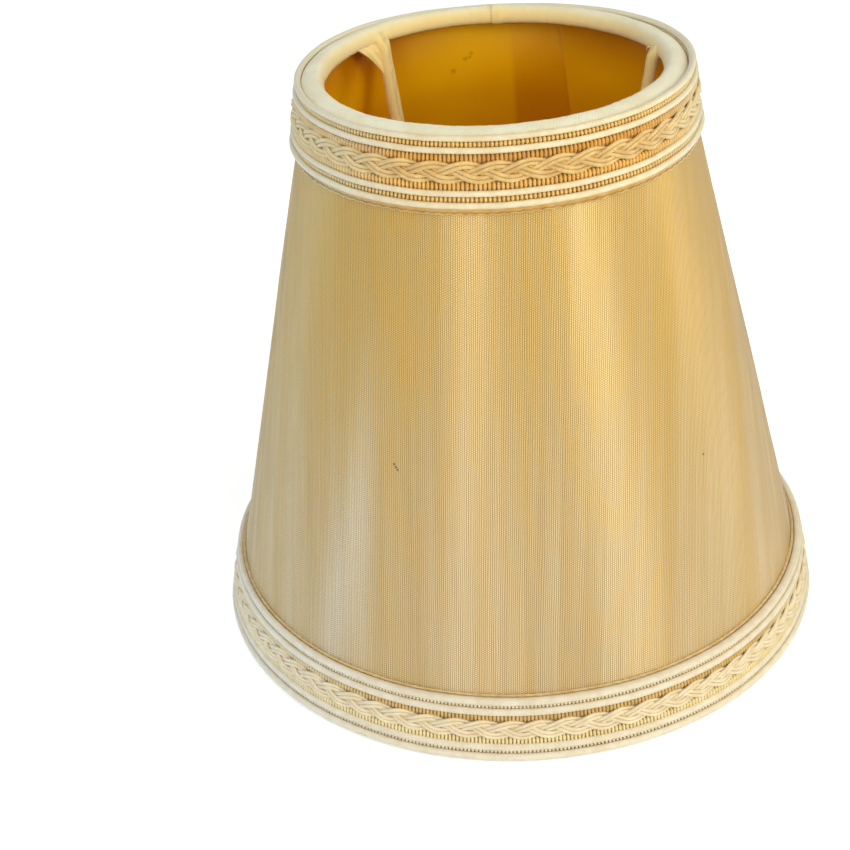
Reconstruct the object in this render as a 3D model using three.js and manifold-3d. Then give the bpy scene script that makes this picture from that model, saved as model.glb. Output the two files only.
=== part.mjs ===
// Small conical lampshade: ribbed silk on a stiff amber backing, two wire rings bound in
// cloth, a three-arm ring fitter inside, and a plaited gimp braid round each rim.
// Millimetres, +Z up, origin on the axis at the plane that the lower rim stands on.

import * as THREE from 'three';
import { mergeVertices } from 'three/addons/utils/BufferGeometryUtils.js';
import Module from 'manifold-3d';

const wasm = await Module();
wasm.setup();

// Cone of the silk, measured on its outside
const HEIGHT = 132;
const BOTTOM_DIAMETER = 138.5;
const TOP_DIAMETER = 78.6;
const SILK_THICKNESS = 0.5;

// Backing sheet, rolled into a cone with its inner end lapped over the outer end
const BACKING_THICKNESS = 0.5;
const LAP_AZIMUTH = 68.5;
const LAP_ANGLE = 17;
const LAP_RAMP_ANGLE = 25;

// Wire frame and fitter
const WIRE_DIAMETER = 2.2;
const FITTER_BORE = 29;
const FITTER_DIAMETER = 38;
const FITTER_THICKNESS = 1;
const FITTER_HEIGHT = 42;
const ARM_COUNT = 3;
const ARM_AZIMUTH = 13.6;
const ARM_INSET = 1.4;
const ARM_BEND_RADIUS = 2.5;
const ARM_WELD_LENGTH = 2;

// Cloth on the frame
const BINDING_THICKNESS = 0.5;
const BINDING_LEG = 4.5;
const SLEEVE_THICKNESS = 0.4;
const GUSSET_WIDTH = 5;
const GUSSET_DROP = 5.5;
const GUSSET_THICKNESS = 0.5;
const GUSSET_ARM = 2;

// Gimp braid, the same at both rims
const TAPE_THICKNESS = 0.25;
const CORD_WIDTH = 1.27;
const CORD_HEIGHT = 0.95;
const STRAND_WIDTH = 1.3;
const STRAND_THICKNESS = 0.45;
const STRAND_PITCH = 18.3;
const BEAD_ROW_WIDTH = 1.5;
const LADDER_ROW_WIDTH = 1.13;
const GIMP_EDGE_MARGIN = 0.3;

// Gaps between neighbouring pieces: on the frame, and where cloth or trim is glued down
const CLEARANCE = 0.3;
const GLUE_GAP = 0.15;

// Facets
const SEGMENTS = 42;
const RING_SIDES = 6;
const ARM_SIDES = 8;
const BEND_STEPS = 4;
const GUSSET_EDGE_STEPS = 5;

const bottomRadius = BOTTOM_DIAMETER / 2;
const topRadius = TOP_DIAMETER / 2;
const wireRadius = WIRE_DIAMETER / 2;
const fitterRadius = FITTER_DIAMETER / 2;
const sleeveInnerRadius = wireRadius + GLUE_GAP;
const sleeveOuterRadius = sleeveInnerRadius + SLEEVE_THICKNESS;

// The wall's own directions in the half-plane of radius and height
const slantLength = Math.hypot(HEIGHT, bottomRadius - topRadius);
const upWall = new THREE.Vector2(topRadius - bottomRadius, HEIGHT).divideScalar(slantLength);
const outOfWall = new THREE.Vector2(upWall.y, -upWall.x);

// Layers of the wall, as offsets from the outside of the silk
const backingOuter = -SILK_THICKNESS - GLUE_GAP;
const backingInner = backingOuter - BACKING_THICKNESS;
const ringOffset = backingInner - CLEARANCE - wireRadius;
const tapeInner = GLUE_GAP;
const tapeOuter = tapeInner + TAPE_THICKNESS;
const trimBase = tapeOuter + GLUE_GAP;

// The rolled binding round a wire ring: mid-surface radius about the wire's centre
const bindingRadius = wireRadius + CLEARANCE + BINDING_THICKNESS / 2;
const rimRise = bindingRadius + BINDING_THICKNESS / 2;

// The gimp's rows, counted from its middle line
const plaitSwing = STRAND_WIDTH + GLUE_GAP;
const plaitRise = (STRAND_THICKNESS + GLUE_GAP) / (2 * Math.sin(Math.PI / 3));
const plaitHalfWidth = plaitSwing + STRAND_WIDTH / 2;
const innerCordOffset = plaitHalfWidth + BEAD_ROW_WIDTH + CORD_WIDTH / 2;
const outerCordOffset = innerCordOffset + CORD_WIDTH + LADDER_ROW_WIDTH;
const gimpHalfWidth = outerCordOffset + CORD_WIDTH / 2;

const colours = {
  silk: new THREE.MeshStandardMaterial({ color: 0xd0ae72, roughness: 0.45, metalness: 0 }),
  backing: new THREE.MeshStandardMaterial({ color: 0xb4750c, roughness: 0.3, metalness: 0 }),
  cloth: new THREE.MeshStandardMaterial({ color: 0xe6e1c8, roughness: 0.85, metalness: 0 }),
  cord: new THREE.MeshStandardMaterial({ color: 0xf5ecd2, roughness: 0.7, metalness: 0 }),
  plait: new THREE.MeshStandardMaterial({ color: 0xe1c38c, roughness: 0.6, metalness: 0 }),
  tape: new THREE.MeshStandardMaterial({ color: 0xc8963c, roughness: 0.7, metalness: 0 }),
  steel: new THREE.MeshStandardMaterial({ color: 0xb8b8b4, roughness: 0.35, metalness: 1 }),
};

/** Radius and height of a point on the wall: slant up from the standing plane, then outwards. */
function wallPoint(slant, offset) {
  const point = new THREE.Vector2(bottomRadius, 0);
  return point.addScaledVector(upWall, slant).addScaledVector(outOfWall, offset);
}

/** Radius at a given height of the cone that lies offset from the outside of the silk. */
function wallRadiusAt(height, offset) {
  const slope = (topRadius - bottomRadius) / HEIGHT;
  return bottomRadius + slope * height + offset / outOfWall.x;
}

/** Merges shared vertices and turns the faces of a closed geometry outwards. */
function closedSolid(geometry) {
  geometry.deleteAttribute('normal');
  geometry.deleteAttribute('uv');
  const merged = mergeVertices(geometry, 1e-4);
  const position = merged.getAttribute('position');
  const index = merged.getIndex();
  const corners = [new THREE.Vector3(), new THREE.Vector3(), new THREE.Vector3()];
  let volume = 0;
  for (let i = 0; i < index.count; i += 3) {
    corners.forEach((corner, k) => corner.fromBufferAttribute(position, index.getX(i + k)));
    volume += corners[0].dot(corners[1].cross(corners[2]));
  }
  if (volume < 0) {
    index.array.reverse();
  }
  merged.computeVertexNormals();
  return merged;
}

/** The manifold of a closed, merged geometry. */
function manifoldOf(geometry) {
  const vertProperties = new Float32Array(geometry.getAttribute('position').array);
  const triVerts = new Uint32Array(geometry.getIndex().array);
  return new wasm.Manifold(new wasm.Mesh({ numProp: 3, vertProperties, triVerts }));
}

/** Cuts one closed geometry out of another. */
function cutOut(geometry, cutter) {
  const mesh = manifoldOf(geometry).subtract(manifoldOf(cutter)).getMesh();
  const result = new THREE.BufferGeometry();
  result.setAttribute('position', new THREE.Float32BufferAttribute(mesh.vertProperties, 3));
  result.setIndex(Array.from(mesh.triVerts));
  return closedSolid(result);
}

/** Revolves a closed outline of radius and height about the Z axis. */
function revolve(outline) {
  const geometry = new THREE.LatheGeometry([...outline, outline[0]], SEGMENTS);
  geometry.rotateX(Math.PI / 2);
  geometry.rotateZ(Math.PI / 2);
  return closedSolid(geometry);
}

/** Skins a row of like sections, joined end to end or closed by flat caps. */
function loft(sections, isRing) {
  const sides = sections[0].length;
  const rows = isRing ? sections.length : sections.length - 1;
  const index = [];
  for (let row = 0; row < rows; row += 1) {
    const here = row * sides;
    const next = ((row + 1) % sections.length) * sides;
    for (let side = 0; side < sides; side += 1) {
      const other = (side + 1) % sides;
      index.push(here + side, next + side, next + other);
      index.push(here + side, next + other, here + other);
    }
  }
  if (!isRing) {
    const last = rows * sides;
    for (let side = 1; side < sides - 1; side += 1) {
      index.push(0, side, side + 1);
      index.push(last, last + side + 1, last + side);
    }
  }
  const geometry = new THREE.BufferGeometry().setFromPoints(sections.flat());
  geometry.setIndex(index);
  return closedSolid(geometry);
}

/** Turns a point of radius and height to an azimuth in radians. */
function atAzimuth(point, azimuth) {
  const { x: radius, y: height } = point;
  return new THREE.Vector3(radius * Math.cos(azimuth), radius * Math.sin(azimuth), height);
}

/** Corners of a regular polygon about the origin. */
function polygon(radius, sides) {
  return Array.from({ length: sides }, (_, k) => {
    const angle = (2 * Math.PI * k) / sides;
    return new THREE.Vector2(radius * Math.cos(angle), radius * Math.sin(angle));
  });
}

/** Thickens an open line of points to a closed outline, square to the line at each corner. */
function thicken(line, thickness) {
  const sides = [[], []];
  line.forEach((point, k) => {
    const before = line[Math.max(k - 1, 0)];
    const after = line[Math.min(k + 1, line.length - 1)];
    const into = (k > 0 ? point.clone().sub(before) : after.clone().sub(point)).normalize();
    const onward = (k < line.length - 1 ? after.clone().sub(point) : into.clone()).normalize();
    const normal = new THREE.Vector2(-into.y - onward.y, into.x + onward.x).normalize();
    const reach = thickness / 2 / normal.dot(new THREE.Vector2(-into.y, into.x));
    sides[0].push(point.clone().addScaledVector(normal, reach));
    sides[1].unshift(point.clone().addScaledVector(normal, -reach));
  });
  return sides.flat();
}

function namedMesh(name, geometry, material) {
  const mesh = new THREE.Mesh(geometry, material);
  mesh.name = name;
  return mesh;
}

/** One rim: the wire ring's centre and which way the rim's edge faces. */
function makeRim(facing) {
  const height = facing > 0 ? HEIGHT - rimRise : rimRise;
  return { facing, centre: new THREE.Vector2(wallRadiusAt(height, ringOffset), height) };
}

/** Slant on the wall at the level of a rim's wire, moved towards the rim's edge. */
function slantAtRim(rim, towardsEdge) {
  return (rim.centre.y + rim.facing * towardsEdge) / upWall.y;
}

function wireRing(rim) {
  const section = polygon(wireRadius, RING_SIDES).map((corner) => corner.add(rim.centre));
  return revolve(section);
}

/** Cloth from the outside of the wall over the wire ring and down to a lip on its inner side. */
function rimBinding(rim) {
  const { facing, centre } = rim;
  const corner = bindingRadius * Math.tan(Math.PI / 8);
  const besideWire = (x, y) => new THREE.Vector2(centre.x + x, centre.y + facing * y);
  const middle = -SILK_THICKNESS / 2;
  const line = [
    wallPoint(slantAtRim(rim, -BINDING_LEG), middle),
    wallPoint(slantAtRim(rim, 0), middle),
    besideWire(corner, bindingRadius),
    besideWire(-corner, bindingRadius),
    besideWire(-bindingRadius, corner),
    besideWire(-bindingRadius, -bindingRadius),
  ];
  return revolve(thicken(line, BINDING_THICKNESS));
}

function silkCover(bottomRim, topRim) {
  const low = slantAtRim(bottomRim, -BINDING_LEG) + CLEARANCE;
  const high = slantAtRim(topRim, -BINDING_LEG) - CLEARANCE;
  return revolve([
    wallPoint(low, 0),
    wallPoint(high, 0),
    wallPoint(high, -SILK_THICKNESS),
    wallPoint(low, -SILK_THICKNESS),
  ]);
}

/** Sheet rolled once round; past the full turn it steps inwards, clear of the rings. */
function amberBacking(bottomRim, topRim) {
  const step = THREE.MathUtils.degToRad(360 / SEGMENTS);
  const start = THREE.MathUtils.degToRad(LAP_AZIMUTH + LAP_ANGLE);
  const end = THREE.MathUtils.degToRad(LAP_AZIMUTH - 360);
  const ramp = THREE.MathUtils.degToRad(LAP_RAMP_ANGLE);
  const lapStart = start - 2 * Math.PI;
  const azimuths = [start];
  for (let k = Math.ceil(start / step) - 1; k * step > end; k -= 1) {
    azimuths.push(k * step);
  }
  azimuths.push(end);
  const tuck = wireRadius + CLEARANCE;
  const sections = azimuths.map((azimuth) => {
    const lapped = THREE.MathUtils.smoothstep(lapStart + ramp - azimuth, 0, ramp);
    const shift = -lapped * (BACKING_THICKNESS + GLUE_GAP);
    const cutBack = lapped > 0 ? -tuck : -CLEARANCE;
    const low = slantAtRim(bottomRim, cutBack);
    const high = slantAtRim(topRim, cutBack);
    const intoSegment = azimuth - Math.floor(azimuth / step + 1e-9) * step;
    const onChord = Math.cos(step / 2) / Math.cos(intoSegment - step / 2);
    const section = [
      wallPoint(low, backingOuter + shift),
      wallPoint(high, backingOuter + shift),
      wallPoint(high, backingInner + shift),
      wallPoint(low, backingInner + shift),
    ];
    section.forEach((point) => { point.x *= onChord; });
    return section.map((point) => atAzimuth(point, azimuth));
  });
  return loft(sections, false);
}

function fitterRing() {
  const inner = FITTER_BORE / 2;
  const top = FITTER_HEIGHT + FITTER_THICKNESS;
  return revolve([
    new THREE.Vector2(inner, FITTER_HEIGHT),
    new THREE.Vector2(fitterRadius, FITTER_HEIGHT),
    new THREE.Vector2(fitterRadius, top),
    new THREE.Vector2(inner, top),
  ]);
}

function armAzimuth(number) {
  return THREE.MathUtils.degToRad(ARM_AZIMUTH + ((number - 1) * 360) / ARM_COUNT);
}

/** Centre line of one arm in the plane of radius and height: down, round the bend, onto the fitter. */
function armRoute(topRim) {
  const besideRing = topRim.centre.clone().setX(topRim.centre.x - ARM_INSET);
  const footHeight = FITTER_HEIGHT + FITTER_THICKNESS + CLEARANCE + wireRadius;
  const bendReach = (knee) => {
    const turn = knee.clone().sub(besideRing).angleTo(new THREE.Vector2(-1, 0));
    return ARM_BEND_RADIUS * Math.tan(turn / 2);
  };
  const knee = new THREE.Vector2(fitterRadius, footHeight);
  knee.x = fitterRadius + bendReach(knee);
  const reach = bendReach(knee);
  const axis = besideRing.clone().sub(knee).normalize();
  const head = besideRing.clone().addScaledVector(axis, -wireRadius - CLEARANCE);
  const bendStart = knee.clone().addScaledVector(axis, reach);
  const bendEnd = new THREE.Vector2(knee.x - reach, footHeight);
  const bend = new THREE.QuadraticBezierCurve(bendStart, knee, bendEnd);
  const foot = new THREE.Vector2(fitterRadius - ARM_WELD_LENGTH, footHeight);
  return { axis, head, bendStart, line: [head, ...bend.getPoints(BEND_STEPS), foot] };
}

/** Round bar along a line in the plane of radius and height. */
function bar(line, radius) {
  const sections = line.map((point, k) => {
    const before = line[Math.max(k - 1, 0)];
    const after = line[Math.min(k + 1, line.length - 1)];
    const tangent = after.clone().sub(before).normalize();
    const across = new THREE.Vector2(-tangent.y, tangent.x);
    return polygon(radius, ARM_SIDES).map((corner) => {
      const inPlane = point.clone().addScaledVector(across, corner.x);
      return new THREE.Vector3(inPlane.x, corner.y, inPlane.y);
    });
  });
  return loft(sections, false);
}

/** Slits the lip of the top binding where the head of each arm passes. */
function slitForArms(binding, topRim) {
  const { axis, head } = armRoute(topRim);
  const past = head.clone().addScaledVector(axis, GLUE_GAP);
  const below = head.clone().addScaledVector(axis, -bindingRadius);
  let slit = binding;
  for (let number = 1; number <= ARM_COUNT; number += 1) {
    const cutter = bar([past, below], sleeveInnerRadius).rotateZ(armAzimuth(number));
    slit = cutOut(slit, cutter);
  }
  return slit;
}

/** Cloth tube on the straight run of an arm, lying along +Z from its lower end. */
function armSleeve(length) {
  const shape = new THREE.Shape(polygon(sleeveOuterRadius, ARM_SIDES));
  shape.holes.push(new THREE.Path(polygon(sleeveInnerRadius, ARM_SIDES)));
  return closedSolid(new THREE.ExtrudeGeometry(shape, { depth: length, bevelEnabled: false }));
}

/** Web of cloth in the corner between a sleeve and the rim, its free edge hollow. */
function armGusset() {
  const corner = sleeveOuterRadius + GLUE_GAP;
  const shape = new THREE.Shape();
  shape.moveTo(0, 0);
  shape.lineTo(GUSSET_WIDTH, 0);
  shape.quadraticCurveTo(GUSSET_WIDTH / 4, -GUSSET_DROP / 4, 0, -GUSSET_DROP);
  const geometry = new THREE.ExtrudeGeometry(shape, {
    depth: GUSSET_THICKNESS,
    bevelEnabled: false,
    curveSegments: GUSSET_EDGE_STEPS,
  });
  geometry.rotateX(Math.PI / 2);
  geometry.rotateZ(Math.PI / 2);
  geometry.translate(0, corner, 0);
  return closedSolid(geometry);
}

/** One arm of the fitter with its cloth, in a group turned to the arm's azimuth. */
function armGroup(number, topRim) {
  const route = armRoute(topRim);
  const tilt = Math.atan2(route.axis.x, route.axis.y);
  const lipHeight = topRim.centre.y - bindingRadius;
  const sleeveTop = lipHeight - CLEARANCE - sleeveOuterRadius * Math.sin(tilt);
  const sleeveLength = (sleeveTop - route.bendStart.y) / Math.cos(tilt);
  const group = new THREE.Group();
  group.rotation.z = armAzimuth(number);
  group.add(namedMesh(`fitter_arm_${number}`, bar(route.line, wireRadius), colours.steel));
  const onAxis = new THREE.Group();
  onAxis.position.set(route.bendStart.x, 0, route.bendStart.y);
  onAxis.rotation.y = tilt;
  onAxis.add(namedMesh(`arm_sleeve_${number}`, armSleeve(sleeveLength), colours.cloth));
  if (number === GUSSET_ARM) {
    const gusset = namedMesh('arm_gusset', armGusset(), colours.cloth);
    gusset.position.set(-sleeveInnerRadius, 0, sleeveLength);
    onAxis.add(gusset);
  }
  group.add(onAxis);
  return group;
}

function gimpTape(middle) {
  const half = gimpHalfWidth;
  return revolve([
    wallPoint(middle - half, tapeOuter),
    wallPoint(middle + half, tapeOuter),
    wallPoint(middle + half, tapeInner),
    wallPoint(middle - half, tapeInner),
  ]);
}

/** Cream cord along the tape: flat where it is glued, round above. */
function gimpCord(middle) {
  const foot = CORD_WIDTH / 4;
  const half = CORD_WIDTH / 2;
  return revolve([
    wallPoint(middle - foot, trimBase),
    wallPoint(middle - half, trimBase + CORD_HEIGHT / 2),
    wallPoint(middle, trimBase + CORD_HEIGHT),
    wallPoint(middle + half, trimBase + CORD_HEIGHT / 2),
    wallPoint(middle + foot, trimBase),
  ]);
}

/**
 * One strand of the three-strand plait. It swings across the braid once a period and
 * rises and dips twice, so that it passes over one neighbour and then under the other.
 * The sections stand where two strands cross and where the third turns at the edge.
 */
function plaitStrand(middle, number) {
  const sectionsPerPeriod = 6;
  const level = trimBase + STRAND_THICKNESS / 2 + plaitRise * Math.sin(Math.PI / 3);
  const roundBraid = 2 * Math.PI * wallPoint(middle, level).x;
  const periods = Math.round(roundBraid / STRAND_PITCH);
  const count = periods * sectionsPerPeriod;
  const sections = Array.from({ length: count }, (_, k) => {
    const phase = (2 * Math.PI * k) / sectionsPerPeriod + Math.PI / 6 + (2 * Math.PI * number) / 3;
    const across = middle + plaitSwing * Math.sin(phase);
    const height = level + plaitRise * Math.sin(2 * phase);
    const section = [
      wallPoint(across + STRAND_WIDTH / 2, height),
      wallPoint(across, height + STRAND_THICKNESS / 2),
      wallPoint(across - STRAND_WIDTH / 2, height),
      wallPoint(across, height - STRAND_THICKNESS / 2),
    ];
    return section.map((point) => atAzimuth(point, (2 * Math.PI * k) / count));
  });
  return loft(sections, true);
}

/** The braid at one rim: tape, four cords and three plaited strands. */
function gimpGroup(prefix, middle) {
  const group = new THREE.Group();
  group.add(namedMesh(`${prefix}_gimp_tape`, gimpTape(middle), colours.tape));
  const offsets = [-outerCordOffset, -innerCordOffset, innerCordOffset, outerCordOffset];
  offsets.forEach((offset, k) => {
    group.add(namedMesh(`${prefix}_gimp_cord_${k + 1}`, gimpCord(middle + offset), colours.cord));
  });
  for (let number = 1; number <= 3; number += 1) {
    const strand = plaitStrand(middle, number);
    group.add(namedMesh(`${prefix}_plait_strand_${number}`, strand, colours.plait));
  }
  return group;
}

const bottomRim = makeRim(-1);
const topRim = makeRim(1);

const lampshade = new THREE.Group();
lampshade.add(namedMesh('silk_cover', silkCover(bottomRim, topRim), colours.silk));
lampshade.add(namedMesh('amber_backing', amberBacking(bottomRim, topRim), colours.backing));
lampshade.add(namedMesh('bottom_ring', wireRing(bottomRim), colours.steel));
lampshade.add(namedMesh('top_ring', wireRing(topRim), colours.steel));
lampshade.add(namedMesh('bottom_rim_binding', rimBinding(bottomRim), colours.cloth));
const topBinding = slitForArms(rimBinding(topRim), topRim);
lampshade.add(namedMesh('top_rim_binding', topBinding, colours.cloth));
lampshade.add(namedMesh('fitter_ring', fitterRing(), colours.steel));
for (let number = 1; number <= ARM_COUNT; number += 1) {
  lampshade.add(armGroup(number, topRim));
}
lampshade.add(gimpGroup('bottom', GIMP_EDGE_MARGIN + gimpHalfWidth));
lampshade.add(gimpGroup('top', slantLength - GIMP_EDGE_MARGIN - gimpHalfWidth));

export default lampshade;
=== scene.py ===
"""Looks of a small conical silk lampshade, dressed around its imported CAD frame.

All lengths are in metres, in the frame of the CAD part: +Z up, with the origin on the
axis at the plane that the lower rim stands on. Slant is the distance up the wall from
that plane, and offset the distance outwards from the outside of the silk.
"""

import logging  # noqa: E402
import math  # noqa: E402
from collections.abc import Callable, Sequence  # noqa: E402
from dataclasses import dataclass, field  # noqa: E402
from enum import Enum  # noqa: E402
from typing import Any  # noqa: E402

import bmesh  # noqa: E402
import bpy  # noqa: E402
import numpy as np  # noqa: E402
from mathutils import Matrix, Vector  # noqa: E402


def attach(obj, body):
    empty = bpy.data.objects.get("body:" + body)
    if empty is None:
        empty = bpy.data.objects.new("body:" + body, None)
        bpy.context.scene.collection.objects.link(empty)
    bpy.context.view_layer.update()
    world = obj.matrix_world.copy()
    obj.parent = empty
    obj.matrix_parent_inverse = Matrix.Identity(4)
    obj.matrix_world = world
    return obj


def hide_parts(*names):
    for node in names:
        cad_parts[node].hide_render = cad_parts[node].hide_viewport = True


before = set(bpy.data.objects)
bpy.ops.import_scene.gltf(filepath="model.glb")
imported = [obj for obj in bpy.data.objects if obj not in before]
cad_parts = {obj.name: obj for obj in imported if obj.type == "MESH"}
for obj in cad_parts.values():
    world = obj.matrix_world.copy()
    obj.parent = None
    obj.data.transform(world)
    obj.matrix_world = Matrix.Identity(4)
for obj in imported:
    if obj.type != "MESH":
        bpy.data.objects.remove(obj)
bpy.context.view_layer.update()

LOG = logging.getLogger("lampshade")

MM = 0.001
TURN = 2.0 * math.pi
BODY = "root"
UV_NAME = "surface"

FULL_TURN_MARGIN = 1e-9

Array = np.ndarray
Colour = tuple[float, float, float, float]
Span = tuple[float, float]
Triple = tuple[float, float, float]
Mark = tuple[float, float, float, float]
Geometry = list[Any]


def rgb(red: int, green: int, blue: int) -> Colour:
    """Turns a display colour into the linear one that shaders take.

    Args:
        red: Red from 0 to 255.
        green: Green from 0 to 255.
        blue: Blue from 0 to 255.

    Returns:
        Linear red, green, blue and an alpha of 1.
    """
    parts = [level / 255.0 for level in (red, green, blue)]
    linear = [c / 12.92 if c <= 0.04045 else ((c + 0.055) / 1.055) ** 2.4 for c in parts]
    return linear[0], linear[1], linear[2], 1.0


def smoothstep(low: float, high: float, values: Array) -> Array:
    """Eases values from 0 at low to 1 at high.

    Args:
        low: Where the step starts.
        high: Where the step ends.
        values: The values to ease.

    Returns:
        The eased values, from 0 to 1.
    """
    share = np.clip((values - low) / (high - low), 0.0, 1.0)
    return share * share * (3.0 - 2.0 * share)


def from_polar(radius: Any, azimuth: Array, height: Any) -> Array:
    """Places points by their distance from the axis, azimuth and height.

    Args:
        radius: Distances from the axis.
        azimuth: Angles about the axis, in radians.
        height: Heights over the standing plane.

    Returns:
        One row of X, Y and Z for each point.
    """
    x, y, z = np.broadcast_arrays(radius * np.cos(azimuth), radius * np.sin(azimuth), height)
    return np.column_stack((x, y, z))


def to_polar(points: Array) -> tuple[Array, Array, Array]:
    """Measures points about the axis.

    Args:
        points: One row of X, Y and Z for each point.

    Returns:
        Distance from the axis, azimuth and height of each point.
    """
    x, y, z = points.T
    return np.hypot(x, y), np.arctan2(y, x), z


def round_and_up(place: Vector) -> Span:
    """Measures a point round the axis and up it, for a surface map."""
    return math.atan2(place.y, place.x) * place.xy.length, place.z


def ripple(waves: Sequence[Triple], along: Array) -> Array:
    """Adds up sine waves.

    Args:
        waves: Height, rate and phase of each.
        along: Where they are read.

    Returns:
        Their sum at each place.
    """
    return sum(height * np.sin(number * along + phase) for height, number, phase in waves)


def one_sided(azimuth: Array, centre: float, power: float) -> Array:
    """Swells on one side of a rim.

    Args:
        azimuth: Where on the rim.
        centre: Where the swelling is highest.
        power: How narrow it is.

    Returns:
        Its share, 1 at the centre and 0 on the far half.
    """
    return np.maximum(0.0, np.cos(azimuth - centre)) ** power


class Rim(Enum):
    """The two rims, each with its name and the way that its edge faces."""

    BOTTOM = ("bottom", -1)
    TOP = ("top", 1)

    def __init__(self, label: str, facing: int) -> None:
        """Keeps the rim's name and facing."""
        self.label = label
        self.facing = facing


@dataclass(frozen=True)
class ConeWall:
    """The outside of the silk cone, from which every layer is measured."""

    height: float = 132.0 * MM
    bottom_radius: float = 69.25 * MM
    top_radius: float = 39.3 * MM

    @property
    def slant_length(self) -> float:
        """Length of the wall from rim to rim."""
        return math.hypot(self.height, self.bottom_radius - self.top_radius)

    @property
    def lean(self) -> float:
        """Sine of the cone's half angle."""
        return (self.bottom_radius - self.top_radius) / self.slant_length

    @property
    def rise(self) -> float:
        """Cosine of the cone's half angle."""
        return self.height / self.slant_length

    @property
    def apex_distance(self) -> float:
        """Slant from the standing plane to the cone's apex."""
        return self.bottom_radius / self.lean

    def profile(self, slant: Any, offset: Any) -> tuple[Any, Any]:
        """Finds points of the wall in the half-plane of radius and height.

        Args:
            slant: Distance up the wall.
            offset: Distance outwards from the silk.

        Returns:
            The radius and the height.
        """
        radius = self.bottom_radius - self.lean * slant + self.rise * offset
        return radius, self.rise * slant + self.lean * offset

    def place(self, azimuth: Array, slant: Any, offset: Any) -> Array:
        """Places points on the wall.

        Args:
            azimuth: Angles about the axis, in radians.
            slant: Distance up the wall.
            offset: Distance outwards from the silk.

        Returns:
            One row of X, Y and Z for each point.
        """
        radius, height = self.profile(slant, offset)
        return from_polar(radius, azimuth, height)

    def measure(self, points: Array) -> tuple[Array, Array, Array]:
        """Measures where points lie on the wall.

        Args:
            points: One row of X, Y and Z for each point.

        Returns:
            Azimuth, slant and offset of each point.
        """
        radius, azimuth, height = to_polar(points)
        out = radius - self.bottom_radius
        slant = self.rise * height - self.lean * out
        return azimuth, slant, self.rise * out + self.lean * height

    def slant_at(self, height: float) -> float:
        """Slant of the wall at a height."""
        return height / self.rise


class Workpiece:
    """A mesh in the making, which ends as one finished piece of the part."""

    def __init__(self, name: str) -> None:
        """Starts an empty mesh.

        Args:
            name: The finished piece's name.
        """
        self.name = name
        self.bm = bmesh.new()
        self.uv = self.bm.loops.layers.uv.new(UV_NAME)

    def points(self) -> Array:
        """Gives the mesh's points, one row each."""
        return np.array([vert.co for vert in self.bm.verts])

    def move(self, points: Array) -> None:
        """Moves the mesh's points to new places.

        Args:
            points: One row for each point, in the mesh's order.
        """
        for vert, place in zip(self.bm.verts, points.tolist()):
            vert.co = place

    def everything(self) -> Geometry:
        """Gives all the mesh's points, edges and faces."""
        return [*self.bm.verts, *self.bm.edges, *self.bm.faces]

    def outline(self, points: Sequence[Span], closed: bool = False) -> Geometry:
        """Draws a line in the half-plane of radius and height, at azimuth 0.

        Args:
            points: Radius and height of each corner.
            closed: Whether the last corner joins the first.

        Returns:
            The line's points and edges.
        """
        verts = [self.bm.verts.new((radius, 0.0, height)) for radius, height in points]
        ends = verts[1:] + verts[:1] if closed else verts[1:]
        edges = [self.bm.edges.new(pair) for pair in zip(verts, ends)]
        return [*verts, *edges]

    def spin(self, geometry: Geometry, steps: int, angle: float = TURN, copies: bool = False) -> None:
        """Turns a shape about the axis, into a swept surface or a row of copies.

        Args:
            geometry: The shape's points, edges and faces.
            steps: Number of steps.
            angle: The whole turn; a full one closes on itself.
            copies: Whether each step leaves a copy.
        """
        bmesh.ops.spin(
            self.bm,
            geom=geometry,
            cent=(0.0, 0.0, 0.0),
            axis=(0.0, 0.0, 1.0),
            dvec=(0.0, 0.0, 0.0),
            angle=angle,
            steps=steps,
            use_merge=abs(angle - TURN) < FULL_TURN_MARGIN,
            use_duplicate=copies,
        )

    def repeat(self, count: int, span: float = TURN) -> None:
        """Copies the whole mesh about the axis.

        Args:
            count: Number of copies in all, the first one included.
            span: The angle that they share evenly.
        """
        self.spin(self.everything(), count - 1, span * (count - 1) / count, copies=True)

    def turn(self, angle: float) -> None:
        """Turns the whole mesh about the axis, by an angle in radians."""
        bmesh.ops.transform(self.bm, verts=self.bm.verts[:], matrix=Matrix.Rotation(angle, 4, "Z"))

    def weld(self, distance: float = 0.002 * MM) -> None:
        """Merges points that lie together.

        Args:
            distance: How close they lie.
        """
        bmesh.ops.remove_doubles(self.bm, verts=self.bm.verts[:], dist=distance)

    def face_outwards(self) -> None:
        """Turns the faces to one side, outwards on a closed shape."""
        bmesh.ops.recalc_face_normals(self.bm, faces=self.bm.faces[:])

    def thicken(self, thickness: float) -> None:
        """Gives a single sheet its thickness.

        Args:
            thickness: The wall, on the side away from the normals.
        """
        bmesh.ops.solidify(self.bm, geom=self.bm.faces[:], thickness=thickness)

    def chart(self, measure: Callable[[Vector], Span]) -> None:
        """Writes the UV map from the points' present places.

        Args:
            measure: Gives U and V of a point.
        """
        table = {vert: measure(vert.co) for vert in self.bm.verts}
        for face in self.bm.faces:
            for loop in face.loops:
                loop[self.uv].uv = table[loop.vert]

    def complete(self, finish: "Finish", nodes: Sequence[str] = ()) -> bpy.types.Object:
        """Turns the mesh into a piece that rides on the part.

        Args:
            finish: The finish that it is dressed in.
            nodes: The CAD nodes that it stands for.

        Returns:
            The finished object.
        """
        mesh = bpy.data.meshes.new(self.name)
        self.bm.to_mesh(mesh)
        self.bm.free()
        mesh.shade_smooth()
        piece = bpy.data.objects.new(self.name, mesh)
        bpy.context.scene.collection.objects.link(piece)
        return dress(piece, finish, nodes)


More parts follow.
